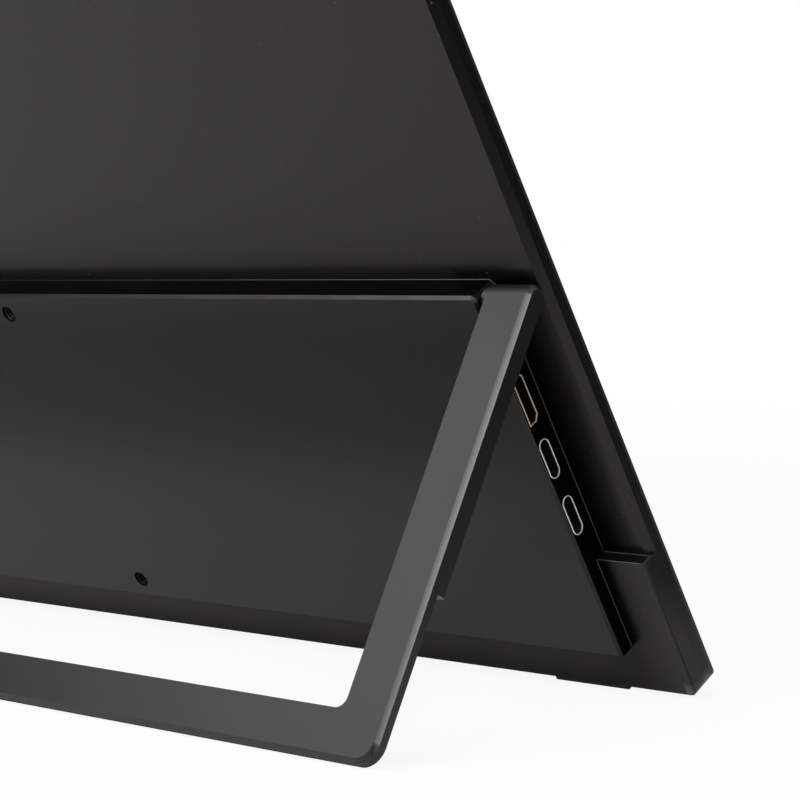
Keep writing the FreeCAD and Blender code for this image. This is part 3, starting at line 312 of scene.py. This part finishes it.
dressed(skinned("tray sheet", (0.55, 0.55, 0.54), spread=0.1, grain=2600, cloud=50, gloss=(0.3, 0.42),
                bump=(0.1, 0.00002), Metallic=1.0), "panel_tray")
dressed(skinned("tape", (0.16, 0.16, 0.17), spread=0.12, grain=2500, cloud=90, gloss=(0.6, 0.7),
                bump=(0.2, 0.00004)), "panel_tape")

# Boards, cable, chips and heat spreader inside the housing, with their screws.
# Solder mask green, tan ribbon, bare aluminium and zinc-plated steel.
dressed(skinned("solder mask", (0.012, 0.09, 0.035), spread=0.2, grain=1800, cloud=150, gloss=(0.3, 0.42),
                bump=(0.1, 0.00003)), "tcon_board", "main_board", "key_board")
dressed(skinned("ribbon", (0.45, 0.27, 0.1), spread=0.12, grain=2200, cloud=120, gloss=(0.4, 0.5),
                bump=(0.1, 0.00003)), "display_cable")
dressed(skinned("spreader aluminium", (0.62, 0.62, 0.63), spread=0.08, grain=2400, cloud=90, gloss=(0.28, 0.4),
                bump=(0.1, 0.00002), Metallic=1.0), "heat_spreader")
dressed(skinned("zinc steel", (0.46, 0.46, 0.47), spread=0.1, grain=2800, cloud=200, gloss=(0.25, 0.38),
                bump=(0.1, 0.00002), Metallic=1.0), "board_screws", "clip_screws", "cover_screws")

# Sockets in the port wall: drawn steel shells for the two USB-C, a gilt folded shell for the mini HDMI.
# Each shell has a bright rim, an inside darkened with painted shade and a black tongue that carries rows of gilt
# contacts on both faces.
wall_face, socket_level, hdmi_level = 184.2, 4.12, 4.09
usb_places, hdmi_place = (44.7, 58.15), 72.05
usb_tongue_width, hdmi_tongue_width = 6.6, 8.2
shell_middle = 170.0
# Painted shade: the steel deeper in the mouth is coloured dark.
inside = zone(centre=(shell_middle, 58.0, 4.1), half=(wall_face - 0.2 - shell_middle, 40.0, 4.0),
              soft=(0.05, 1.0, 1.0), colour=(0.06, 0.058, 0.055), rough=0.5, metal=1.0)


def tongue(up, level, width):
    """The block of a socket's tongue, in black moulded plastic."""
    return zone(centre=(wall_face - 4.4, up, level), half=(3.05, width / 2 + 0.03, 0.38), soft=(0.02, 0.02, 0.02),
                colour=(0.008, 0.008, 0.008), rough=0.45, metal=0.0)


usb_tongues = [tongue(up, socket_level, usb_tongue_width) for up in usb_places]
hdmi_tongue = tongue(hdmi_place, hdmi_level, hdmi_tongue_width)
dressed(skinned("socket steel", (0.62, 0.6, 0.56), spread=0.1, grain=3200, cloud=200, gloss=(0.2, 0.32),
                bump=(0.1, 0.00002), place=ON_PANEL, zones=(inside, *usb_tongues), Metallic=1.0),
        "usb_c_socket_upper", "usb_c_socket_lower")
dressed(skinned("socket gilt", (0.62, 0.47, 0.26), spread=0.1, grain=3200, cloud=200, gloss=(0.22, 0.34),
                bump=(0.1, 0.00002), place=ON_PANEL, zones=(inside, hdmi_tongue), Metallic=1.0),
        "mini_hdmi_socket")


def on_panel(points):
    """Metres in the shared frame of points given in millimetres on the flat panel: x right and y up as seen from
    behind, z out of the back; the flat panel is turned by the lean and moved to its place."""
    return (points @ np.array(PANEL).T + np.array(PANEL_AT)) * 0.001


def piece(name, points, faces, material, body):
    """A mesh of points and faces at the origin, with its material, riding on a body of the frame."""
    mesh = bpy.data.meshes.new(name)
    mesh.from_pydata(points.tolist(), [], [list(face) for face in faces])
    mesh.update()
    mesh.materials.append(material)
    made = bpy.data.objects.new(name, mesh)
    bpy.context.scene.collection.objects.link(made)
    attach(made, body)


def ring_faces(rows, columns, closed=False):
    """Quads between neighbouring rows of points, where each row closes on itself, and the last row on the first if
    closed."""
    row, column = np.meshgrid(np.arange(rows if closed else rows - 1), np.arange(columns), indexing="ij")
    after, below = (column + 1) % columns, (row + 1) % rows
    corners = (row * columns + column, row * columns + after, below * columns + after, below * columns + column)
    return np.stack(corners, -1).reshape(-1, 4)


def capped(rows, columns):
    """The ring faces of a swept profile with a cap on each end."""
    last = (rows - 1) * columns
    caps = [list(range(columns))[::-1], list(range(last, last + columns))]
    return ring_faces(rows, columns).tolist() + caps


def as_one(shapes):
    """The points and faces of several shapes as one pair."""
    starts = np.cumsum([0] + [len(points) for points, _ in shapes]).tolist()
    faces = [[corner + start for corner in face] for start, (_, own) in zip(starts, shapes) for face in own]
    return np.concatenate([points for points, _ in shapes]), faces


def repeated(points, faces, places):
    """One shape set down at each place, as one pair of points and faces."""
    return as_one([(points + np.array(place, float), faces) for place in places])


def contact(width, side):
    """A stamped contact with a low crown that runs along x and dips at its tip: a profile of five points, scaled
    down in its last row; side is one for the upper face of a tongue and minus one for the lower."""
    across = np.array((0.5, 0.35, 0.0, -0.35, -0.5)) * width
    crown = np.array((-0.02, 0.035, 0.045, 0.035, -0.02))
    along = np.array((-3.9, -0.5, -0.2))
    height_share = np.array((1.0, 1.0, 0.3))
    rows, columns = len(along), len(across)
    points = np.stack((np.repeat(along[:, None], columns, 1), np.repeat(across[None], rows, 0) * side,
                       height_share[:, None] * crown * side), -1)
    return points.reshape(-1, 3), capped(rows, columns)


contact_tip, tongue_face, width_share = wall_face - 1.4, 0.35, 0.5
contact_gold = skinned("contact gold", (0.75, 0.52, 0.2), spread=0.08, grain=4000, cloud=300, gloss=(0.18, 0.26),
                       bump=(0.05, 0.00001), Metallic=1.0)
for name, ups, level, counts, pitch, slot in (
        ("usb_contacts", usb_places, socket_level, (12, 12), 0.5, "socket_steel"),
        ("hdmi_contacts", (hdmi_place,), hdmi_level, (10, 9), 0.8, "socket_gold")):
    rows = []
    for side, count in zip((1, -1), counts):
        places = [(contact_tip, up + (index - (count - 1) / 2) * pitch, level + side * tongue_face)
                  for up in ups for index in range(count)]
        rows.append(repeated(*contact(pitch * width_share, side), places))
    points, faces = as_one(rows)
    piece(name, on_panel(points), faces, contact_gold, "monitor")

# Rolled rims of the sockets: the shell's sheet is turned over a little at its mouth and polished, so it shines in
# the dark wall; its pale, partly matt colour adds a painted highlight. A round profile is carried round the
# mouth's outline, an oval for USB-C and a box with two cut corners for mini HDMI.


def rolled_rim(outline, out, radius, around=10):
    """A closed tube along a flat outline of y and z at x = out: each corner's ring lies across the mean of its two
    edges' normals, and each point is the corner plus radius times cosine along that normal and sine along x."""
    outline = np.array(outline, float)
    edge = np.roll(outline, -1, 0) - outline
    normal = np.stack((edge[:, 1], -edge[:, 0]), 1) / np.linalg.norm(edge, axis=1)[:, None]
    before = np.roll(normal, 1, 0)
    mitre = (normal + before) / (1.0 + (normal * before).sum(1))[:, None]
    turn = np.linspace(2 * math.pi, 0.0, around, endpoint=False)
    flat = outline[:, None] + radius * np.cos(turn)[None, :, None] * mitre[:, None]
    depth = np.broadcast_to(out + radius * np.sin(turn), flat.shape[:2])
    return np.concatenate((depth[:, :, None], flat), 2).reshape(-1, 3), ring_faces(len(outline), around, True)


rim_radius, straight, round_end = 0.125, 2.89, 1.43
bow = np.linspace(-math.pi / 2, math.pi / 2, 13)
half_oval = np.column_stack((straight + round_end * np.cos(bow), round_end * np.sin(bow)))
rim_points, rim_faces = rolled_rim(np.concatenate((half_oval, -half_oval)), wall_face, rim_radius)
points, faces = repeated(rim_points, rim_faces.tolist(), [(0.0, up, socket_level) for up in usb_places])
rim_steel_highlight = skinned("rim steel", (0.93, 0.92, 0.9), spread=0.05, grain=4000, cloud=300, gloss=(0.24, 0.3),
                    bump=(0.05, 0.00001), Metallic=0.45)
piece("usb_rims", on_panel(points), faces, rim_steel_highlight, "monitor")
long, low_z, high_z, cut_off = 5.45, -1.40, 1.40, 1.05
mouth = ((-long + cut_off, low_z), (long - cut_off, low_z), (long, low_z + cut_off), (long, high_z),
         (-long, high_z), (-long, low_z + cut_off))
points, faces = rolled_rim(mouth, wall_face, rim_radius)
rim_gilt_highlight = skinned("rim gilt", (0.88, 0.7, 0.5), spread=0.05, grain=4000, cloud=300, gloss=(0.24, 0.32),
                   bump=(0.05, 0.00001), Metallic=0.55)
points = points + np.array((0.0, hdmi_place, hdmi_level))
piece("hdmi_rim", on_panel(points), faces, rim_gilt_highlight, "monitor")

# Headphone jack, speakers and key switches, behind the far wall and the sound slots.
# Moulded black bodies; the speakers' cones are pressed paper.
dressed(skinned("jack plastic", (0.01, 0.01, 0.01), spread=0.2, grain=3000, cloud=80, gloss=(0.4, 0.5),
                bump=(0.2, 0.00003)), "headphone_jack", "power_switch", "menu_switches")
dressed(skinned("speaker paper", (0.012, 0.012, 0.012), spread=0.3, grain=1500, cloud=90, gloss=(0.6, 0.75),
                bump=(0.3, 0.00006)), "speaker_right", "speaker_left")

# Hinge: spring-steel bands that grip the shafts, with plastic washers towards the stand's legs.
# The shafts are ground steel, pressed into the legs; the rocker turns on a pin of the same steel.
dressed(skinned("spring steel", (0.35, 0.35, 0.36), spread=0.1, grain=2800, cloud=120, gloss=(0.25, 0.36),
                bump=(0.1, 0.00002), Metallic=1.0),
        "hinge_clip_right", "hinge_clip_left", "hinge_shaft_right", "hinge_shaft_left", "rocker_pin")
dressed(skinned("washer plastic", (0.015, 0.015, 0.015), spread=0.15, grain=2800, cloud=120, gloss=(0.35, 0.45),
                bump=(0.1, 0.00002)), "hinge_washer_right", "hinge_washer_left")

# Rear shell: pressed aluminium with a satin black coat over a fine blasted grain, with a painted highlight along
# its edges.
# The channels beside the housing, where the stand folds in, the rim under it, the rim beside the housing and the
# outer wall carry painted shade; painted highlights lie along the ends of the rim and on the lower corners.
coat_tint = (1.0, 0.955, 0.80, 1.0)
satin_coat = dict(colour=(0.0032, 0.0031, 0.0027), spread=0.2, grain=6000, cloud=25, gloss=(0.275, 0.298),
                  bump=(0.045, 0.00003), place=ON_PANEL, Specular_Tint=coat_tint)
# Colour and roughness of the painted highlight along the coat's edges.
edge_highlight_coat = dict(colour=(0.007, 0.007, 0.0065), rough=0.24)
# Painted shade in the channel beside the housing.
channel_shade = zone(centre=(184.2, 66.0, -0.2), half=(9.2, 32.5, 0.5), soft=(3.0, 1.0, 0.4), colour=black, rough=0.34,
               metal=0.6)
# Painted shade on the rim under the housing, near the lower edge.
foot_band_shade = zone(centre=(0.0, 3.0, 2.0), half=(184.0, 8.1, 3.0), soft=(8.0, 0.3, 0.5), colour=black, rough=0.3,
                 metal=0.38)
# Painted shade on the rim beside the housing's wall.
corner_shade = zone(centre=(184.2, 18.0, 2.7), half=(4.0, 18.0, 0.4), soft=(11.0, 4.0, 0.4), colour=black,
                    rough=0.3, metal=0.62)
# Painted shade on the outer side wall.
outer_wall_shade = zone(centre=(197.0, 12.0, 0.0), half=(1.0, 20.0, 4.0), soft=(0.3, 8.0, 0.5), colour=black, rough=0.3,
                  metal=0.26)
# Painted highlight on the lower corner.
corner_highlight = zone(centre=(half_width, 0.0, -0.5), half=(2.2, 1.0, 4.0), soft=(0.5, 5.0, 0.5),
                   colour=(0.2, 0.2, 0.195), rough=0.3, metal=0.0)
# Painted highlight lines along the ends of the rim.
rim_end_look = dict(soft=(0.05, 0.05, 0.05), colour=(0.2, 0.2, 0.19), rough=0.28, metal=0.7)
rim_end_highlights = (zone(centre=(190.0, 33.0, 0.0), half=(6.0, 0.1, 0.1), **rim_end_look),
            zone(centre=(190.0, 33.0, 2.7), half=(6.2, 0.1, 0.1), **rim_end_look),
            zone(centre=(196.2, 33.0, 1.3), half=(0.4, 0.1, 1.5), **rim_end_look))
# Painted highlight along the shell's edges.
shell_edges = highlit_edges(centre=(0.0, height / 2, joint / 2), half=(half_width, height / 2, -joint / 2), reach=1.9,
                         **edge_highlight_coat)
dressed(skinned("shell coat", zones=(seam, channel_shade, foot_band_shade, corner_shade, outer_wall_shade, corner_highlight, *rim_end_highlights),
                edge=shell_edges, dust=(0.055, 0.7), Specular_IOR_Level=0.39, **satin_coat), "rear_shell")

# Housing cover: the same coat on a shallow tub with bevelled edges, held from inside by flat-headed screws, with
# painted shade on its side and top walls and painted highlights on its top bevel and edges. Its foot ends in a
# thin turned-out lip that closes the joint with the shell and catches the light; the lip's lighter metal colour is
# partly a painted highlight.
half, low, high, cut, rim, rise = 184.2, 11.1, 96.3, 1.0, 33.0, 6.5
# Painted shade on the side and top walls of the housing.
side_wall_shade = zone(centre=(half, 53.0, 2.9), half=(0.1, 60.0, 3.0), soft=(0.05, 0.1, 0.1), colour=black, rough=0.32,
                 metal=0.6)
top_wall_shade = zone(centre=(0.0, high, 2.9), half=(200.0, 0.1, 3.0), soft=(0.1, 0.05, 0.1), colour=black, rough=0.18,
                metal=0.6)
# Painted highlight on the housing's top bevel.
bevel_highlight = zone(centre=(half, high, rise), half=(90.0, 0.62, 0.62), soft=(130.0, 0.05, 0.05),
                    colour=(0.055, 0.055, 0.053), rough=0.26, metal=0.7)
# Painted highlight along the housing's edges.
cover_edges = highlit_edges(centre=(0.0, (low + high) / 2, rise / 2), half=(half, (high - low) / 2, rise / 2),
                         reach=0.8, **edge_highlight_coat)
dressed(skinned("cover coat", zones=(side_wall_shade, top_wall_shade, bevel_highlight), edge=cover_edges, dust=(0.05, 0.4),
                Specular_IOR_Level=0.36, **satin_coat), "box_cover")


def swept_lip(path, outward, level, size):
    """A three-cornered lip carried along a flat path: at each corner it has its root, its crown raised by size,
    and its toe moved outward by size."""
    path, outward = np.array(path, float), np.array(outward, float)
    root = np.column_stack((path, np.full(len(path), level)))
    toe = root + np.column_stack((outward * size, np.zeros(len(path))))
    crown = root + np.array((0.0, 0.0, size))
    return np.stack((root, crown, toe), 1).reshape(-1, 3), capped(len(path), 3)


lip_size, bend = 0.1, math.tan(math.radians(22.5))
lip_middle = zone(centre=(0.0, high, 0.0), half=(85.0, 1.0, 1.0), soft=(70.0, 1.0, 1.0),
                  colour=(0.004, 0.004, 0.004), rough=0.3, metal=0.55)
# The lip's shape is real; its lighter metal colour is partly a painted highlight.
lip_highlight_metal = skinned("cover lip", (0.04, 0.04, 0.04), spread=0.35, grain=4000, cloud=90, gloss=(0.2, 0.3),
                    bump=(0.1, 0.00002), place=ON_PANEL, zones=(lip_middle,), Metallic=0.55)
upper_path = ((half, rim), (half, high - cut), (half - cut, high), (cut - half, high), (-half, high - cut),
              (-half, rim))
upper_outward = ((1, 0), (1, bend), (bend, 1), (-bend, 1), (-1, bend), (-1, 0))
lower_path = ((-half, rim), (-half, low), (half, low), (half, rim))
lower_outward = ((-1, 0), (-1, -1), (1, -1), (1, 0))
for name, path, outward, level in (("cover_lip_upper", upper_path, upper_outward, 0.0),
                                   ("cover_lip_lower", lower_path, lower_outward, 2.7)):
    points, faces = swept_lip(path, outward, level, lip_size)
    piece(name, on_panel(points), faces, lip_highlight_metal, "monitor")

# Threaded inserts of the wall mount, in brass coloured nearly black, which paints the shade of the deep holes.
# Each has a metric thread, cut as a helix in its bore.
dressed(skinned("insert brass", (0.014, 0.012, 0.01), spread=0.15, grain=2600, cloud=150, gloss=(0.3, 0.42),
                bump=(0.1, 0.00002), Metallic=1.0), "vesa_inserts")
turns, pitch, across, depth, steps = 8, 0.7, 2.0, 0.35, 24
mount_x, mount_y, thread_start = (-37.5, 37.5), (16.2, 91.2), 0.1
angle = np.linspace(0.0, 2 * math.pi * turns, turns * steps + 1)
thread = np.stack([np.column_stack((radius * np.cos(angle), radius * np.sin(angle),
                                    angle / (2 * math.pi) * pitch + lift))
                   for radius, lift in ((across, 0.0), (across - depth, 0.3), (across, 0.6))], 1).reshape(-1, 3)
points, faces = repeated(thread, capped(len(angle), 3), [(x, y, thread_start) for x in mount_x for y in mount_y])
# Painted shade: the thread is coloured nearly black.
thread_brass = skinned("thread brass", (0.016, 0.014, 0.011), spread=0.15, grain=2600, cloud=150,
                       gloss=(0.25, 0.36), bump=(0.1, 0.00002), Metallic=1.0)
piece("insert_threads", on_panel(points), faces, thread_brass, "monitor")

# Power button and menu rocker: moulded caps in the far wall, a shade smoother than the cover.
# The button slides in its hole and the rocker tips about its pin.
dressed(skinned("key plastic", (0.01, 0.01, 0.0105), spread=0.2, grain=5000, cloud=80, gloss=(0.34, 0.42),
                bump=(0.15, 0.00003)), "power_button", "menu_rocker")

# Stand: blasted, dark grey anodised three-sided flat-bar frame; painted highlights and shade lie on its bevels and
# bar.
# It turns on two shafts at the top of its legs, and folds into the channels beside the housing and below it.
SWING = math.radians(28.0507)
STAND = ((-1.0, 0.0, 0.0), (0.0, -math.sin(SWING), math.cos(SWING)), (0.0, math.cos(SWING), math.sin(SWING)))
ON_STAND = place_group("place on the stand", STAND, (0.0, -7.7288, 81.5018))
side, foot, face, bevel = 196.3, -92.35, 2.7, 0.95
# Painted shade across the bar.
bar_shade = zone(centre=(0.0, foot + 7.0, 0.0), half=(120.0, 9.0, 5.0), soft=(110.0, 4.0, 1.0),
                 colour=(0.002, 0.002, 0.002), rough=0.33, metal=0.22)
# Painted shade on the outer half of the leg's bevel; painted highlights on its inner half and on the bar's bevel.
bevel_shade = zone(centre=(side, -45.0, face), half=(bevel, 60.0, bevel), soft=(0.1, 1.0, 0.1),
                 colour=(0.004, 0.004, 0.0045), rough=0.3, metal=0.5)
leg_bevel_highlight = zone(centre=(side, -45.0, face), half=(bevel / 2, 60.0, bevel), soft=(bevel, 1.0, 0.1),
                 colour=(0.045, 0.045, 0.047), rough=0.28, metal=0.2)
bar_bevel_highlight = zone(centre=(0.0, foot, face), half=(200.0, bevel, bevel), soft=(1.0, 0.1, 0.1),
                 colour=(0.016, 0.016, 0.017), rough=0.28, metal=0.2)
dressed(skinned("stand anodising", (0.0085, 0.0085, 0.0095), spread=0.22, grain=5200, cloud=40, gloss=(0.30, 0.36),
                bump=(0.12, 0.00004), place=ON_STAND, zones=(bar_shade, bevel_shade, leg_bevel_highlight, bar_bevel_highlight),
                dust=(0.03, 0.2), Specular_IOR_Level=0.43, Specular_Tint=(0.985, 0.975, 1.0, 1.0)), "stand_frame")

# Rubber feet under the lower edge: low moulded pads, pressed into shallow seats.
# Their skin is matt and slightly dusty.
dressed(skinned("foot rubber", (0.012, 0.012, 0.012), spread=0.3, grain=2600, cloud=90, gloss=(0.7, 0.8),
                bump=(0.3, 0.00006), place=ON_PANEL, dust=(0.05, 0.4)), "rubber_feet")

# Studio: a floor of pale paper under a white sky, lit by a soft fill and five soft boxes, in metres and watts.
# The camera sees the sky plain white and the floor nearly so, with the object's shadow kept near it.
# Gloss sees the white sky too, but the floor almost only as lit paper.
bpy.context.scene.view_settings.view_transform = "Standard"


def seen_rays(tree, camera_share, mirror_share):
    """How much of the plain white a ray sees: one share for the camera, another for gloss and glass, none for the
    rest."""
    path = node_after(tree, "ShaderNodeLightPath", (-4, 2)).outputs
    mirror = node_after(tree, "ShaderNodeMath", (-3, 2), operation="ADD", use_clamp=True)
    share = node_after(tree, "ShaderNodeMath", (-2, 2), operation="MULTIPLY")
    total = node_after(tree, "ShaderNodeMath", (-1, 2), operation="MULTIPLY_ADD", use_clamp=True)
    wired(tree,
          (path["Is Glossy Ray"], mirror.inputs[0]), (path["Is Transmission Ray"], mirror.inputs[1]),
          (mirror.outputs[0], share.inputs[0]), (mirror_share, share.inputs[1]),
          (path["Is Camera Ray"], total.inputs[0]), (camera_share, total.inputs[1]),
          (share.outputs[0], total.inputs[2]))
    return total.outputs[0]


plain_white, white_level, air_level = (1.0, 1.0, 1.0, 1.0), 1.0, 0.3
world = bpy.data.worlds.new("studio")
bpy.context.scene.world = world
world.use_nodes = True
tree = world.node_tree
air = tree.nodes["Background"]
white = node_after(tree, "ShaderNodeBackground", (0, 2))
either = node_after(tree, "ShaderNodeMixShader", (1, 0))
wired(tree,
      (plain_white, air.inputs["Color"]), (air_level, air.inputs["Strength"]),
      (plain_white, white.inputs["Color"]), (white_level, white.inputs["Strength"]),
      (seen_rays(tree, 1.0, 1.0), either.inputs[0]), (air.outputs[0], either.inputs[1]),
      (white.outputs[0], either.inputs[2]), (either.outputs[0], tree.nodes["World Output"].inputs["Surface"]))

reach = 6.0
near, far, near_share, far_share, gloss_share = 0.3, 1.0, 0.9, 1.0, 0.06
floor_mesh = bpy.data.meshes.new("floor")
floor_mesh.from_pydata([(-reach, -reach, 0), (reach, -reach, 0), (reach, reach, 0), (-reach, reach, 0)], [],
                       [(0, 1, 2, 3)])
floor = bpy.data.objects.new("floor", floor_mesh)
bpy.context.scene.collection.objects.link(floor)
paper = skinned("floor paper", (0.85, 0.85, 0.85), spread=0.02, grain=400, cloud=8, gloss=(0.88, 0.92),
                bump=(0.05, 0.0001), Specular_IOR_Level=0.0)
tree = paper.node_tree
glow = node_after(tree, "ShaderNodeEmission", (0, 3))
either = node_after(tree, "ShaderNodeMixShader", (2, 0))
place = node_after(tree, "ShaderNodeTexCoord", (-8, 4))
distance = node_after(tree, "ShaderNodeVectorMath", (-7, 4), operation="LENGTH")
fade = node_after(tree, "ShaderNodeMapRange", (-6, 4), interpolation_type="SMOOTHSTEP")
wired(tree,
      (place.outputs["Object"], distance.inputs[0]), (distance.outputs["Value"], fade.inputs["Value"]),
      (near, fade.inputs["From Min"]), (far, fade.inputs["From Max"]), (near_share, fade.inputs["To Min"]),
      (far_share, fade.inputs["To Max"]), (white_level, glow.inputs["Strength"]),
      (seen_rays(tree, fade.outputs[0], gloss_share), either.inputs[0]),
      (tree.nodes["Principled BSDF"].outputs[0], either.inputs[1]), (glow.outputs[0], either.inputs[2]),
      (either.outputs[0], tree.nodes["Material Output"].inputs["Surface"]))
floor_mesh.materials.append(paper)

middle = Vector((0.0, 0.0, 0.1))
for name, place, size, power in (("sky box", (0.0, 1.1, 1.7), (2.2, 1.4), 28.0),
                                 ("back box", (-1.1, 0.72, 0.85), (0.5, 0.5), 8.0),
                                 ("side box", (0.80, 0.62, 0.78), (0.35, 0.35), 0.7),
                                 ("low strip", (0.1, 1.5, 0.36), (1.2, 0.2), 5.0),
                                 ("window box", (0.78, 1.02, 0.61), (0.22, 0.3), 0.7)):
    lamp = bpy.data.lights.new(name, "AREA")
    lamp.shape = "RECTANGLE"
    lamp.size, lamp.size_y = size
    lamp.energy = power
    holder = bpy.data.objects.new(name, lamp)
    bpy.context.scene.collection.objects.link(holder)
    holder.location = place
    holder.rotation_euler = (middle - Vector(place)).to_track_quat("-Z", "Y").to_euler()

# Flags of dull paper, hidden from the camera: a black sweep beyond the port side and a black curtain on the other
# side keep the walls and the stand's far end dark, and a soft grey strip on the floor under the monitor paints its
# shadow there.
# The sweep is a profile of reach and rise carried along a line, the curtain a wall along an arc.


def flag(name, points, columns, tone):
    """A studio flag of black or grey paper from a grid of points, seen only in reflections."""
    rows = len(points) // columns
    row, column = np.meshgrid(np.arange(rows - 1), np.arange(columns - 1), indexing="ij")
    first = row * columns + column
    faces = np.stack((first, first + 1, first + columns + 1, first + columns), -1)
    mesh = bpy.data.meshes.new(name)
    mesh.from_pydata(points.tolist(), [], faces.reshape(-1, 4).tolist())
    paper = skinned(name + " paper", (tone, tone, tone), spread=0.1, grain=50, cloud=5, gloss=(0.9, 0.95),
                    bump=(0.1, 0.001))
    mesh.materials.append(paper)
    made = bpy.data.objects.new(name, mesh)
    bpy.context.scene.collection.objects.link(made)
    made.visible_camera = False
    made.visible_shadow = False
    return paper.node_tree


black_tone, shadow_strip_tone = 0.06, 0.2
sweep_start, sweep_ends = np.array((-0.16, 0.02)), np.array((-2.8, 1.0))
sweep_reach = np.array((0.12, 0.5, 0.8, 1.0, 1.1, 1.1))
sweep_rise = np.array((0.002, 0.002, 0.02, 0.1, 0.3, 0.9))
outward, along = np.array((-1.0, 0.0)), np.array((0.0, 1.0))
flat = sweep_start + sweep_reach[:, None, None] * outward + sweep_ends[None, :, None] * along
sweep = np.concatenate((flat, np.repeat(sweep_rise[:, None, None], 2, 1)), 2)
flag("black_sweep", sweep.reshape(-1, 3), 2, black_tone)
curtain_away = 1.8
arc = np.radians(np.linspace(-5.0, 75.0, 17))
curtain_top = np.interp(np.degrees(arc), (28.0, 45.0), (0.84, 0.5))
curtain = np.stack([np.column_stack((curtain_away * np.cos(arc), curtain_away * np.sin(arc), curtain_top * share))
                    for share in (0.002, 0.5, 1.0)])
flag("black_curtain", curtain.reshape(-1, 3), len(arc), black_tone)
# Painted shadow: a grey strip, faded at its ends, on the floor under the monitor and stand.
strip_x, strip_y, strip_level = (-0.24, 0.24), (-0.03, 0.05), 0.001
strip = np.array([(x, y, strip_level) for y in strip_y for x in strip_x])
tree = flag("shadow_strip", strip, 2, shadow_strip_tone)
where = node_after(tree, "ShaderNodeTexCoord", (-4, 4)).outputs["Object"]
faded = grouped(tree, ZONE, -3, Vector=where, Centre=(0.0, 0.008, 0.0), Half=(0.18, 0.008, 1.0),
                Soft=(0.06, 0.024, 1.0))["Mask"]
wired(tree, (faded, tree.nodes["Principled BSDF"].inputs["Alpha"]))

# Camera: low behind the monitor's port side, with a long lens, turned to the photograph's view.
# Turn is its compass direction, lift its height over the horizon and roll its tilt; its place is in metres.
turn, lift, roll = math.radians(224.2529), math.radians(3.3894), math.radians(-0.7700)
camera_place = (-0.50549, 0.34648, 0.09091)
away = Vector((math.sin(turn) * math.cos(lift), -math.cos(turn) * math.cos(lift), math.sin(lift)))
level = Vector((math.cos(turn), math.sin(turn), 0.0))
upward = away.cross(level)
right = level * math.cos(roll) + upward * math.sin(roll)
top = upward * math.cos(roll) - level * math.sin(roll)
lens = bpy.data.cameras.new("camera")
lens.sensor_width = 36.0
lens.lens = 113.900
lens.clip_start = 0.01
viewer = bpy.data.objects.new("camera", lens)
bpy.context.scene.collection.objects.link(viewer)
turned = Matrix((right, top, away)).transposed().to_4x4()
viewer.matrix_world = Matrix.Translation(camera_place) @ turned
bpy.context.scene.camera = viewer
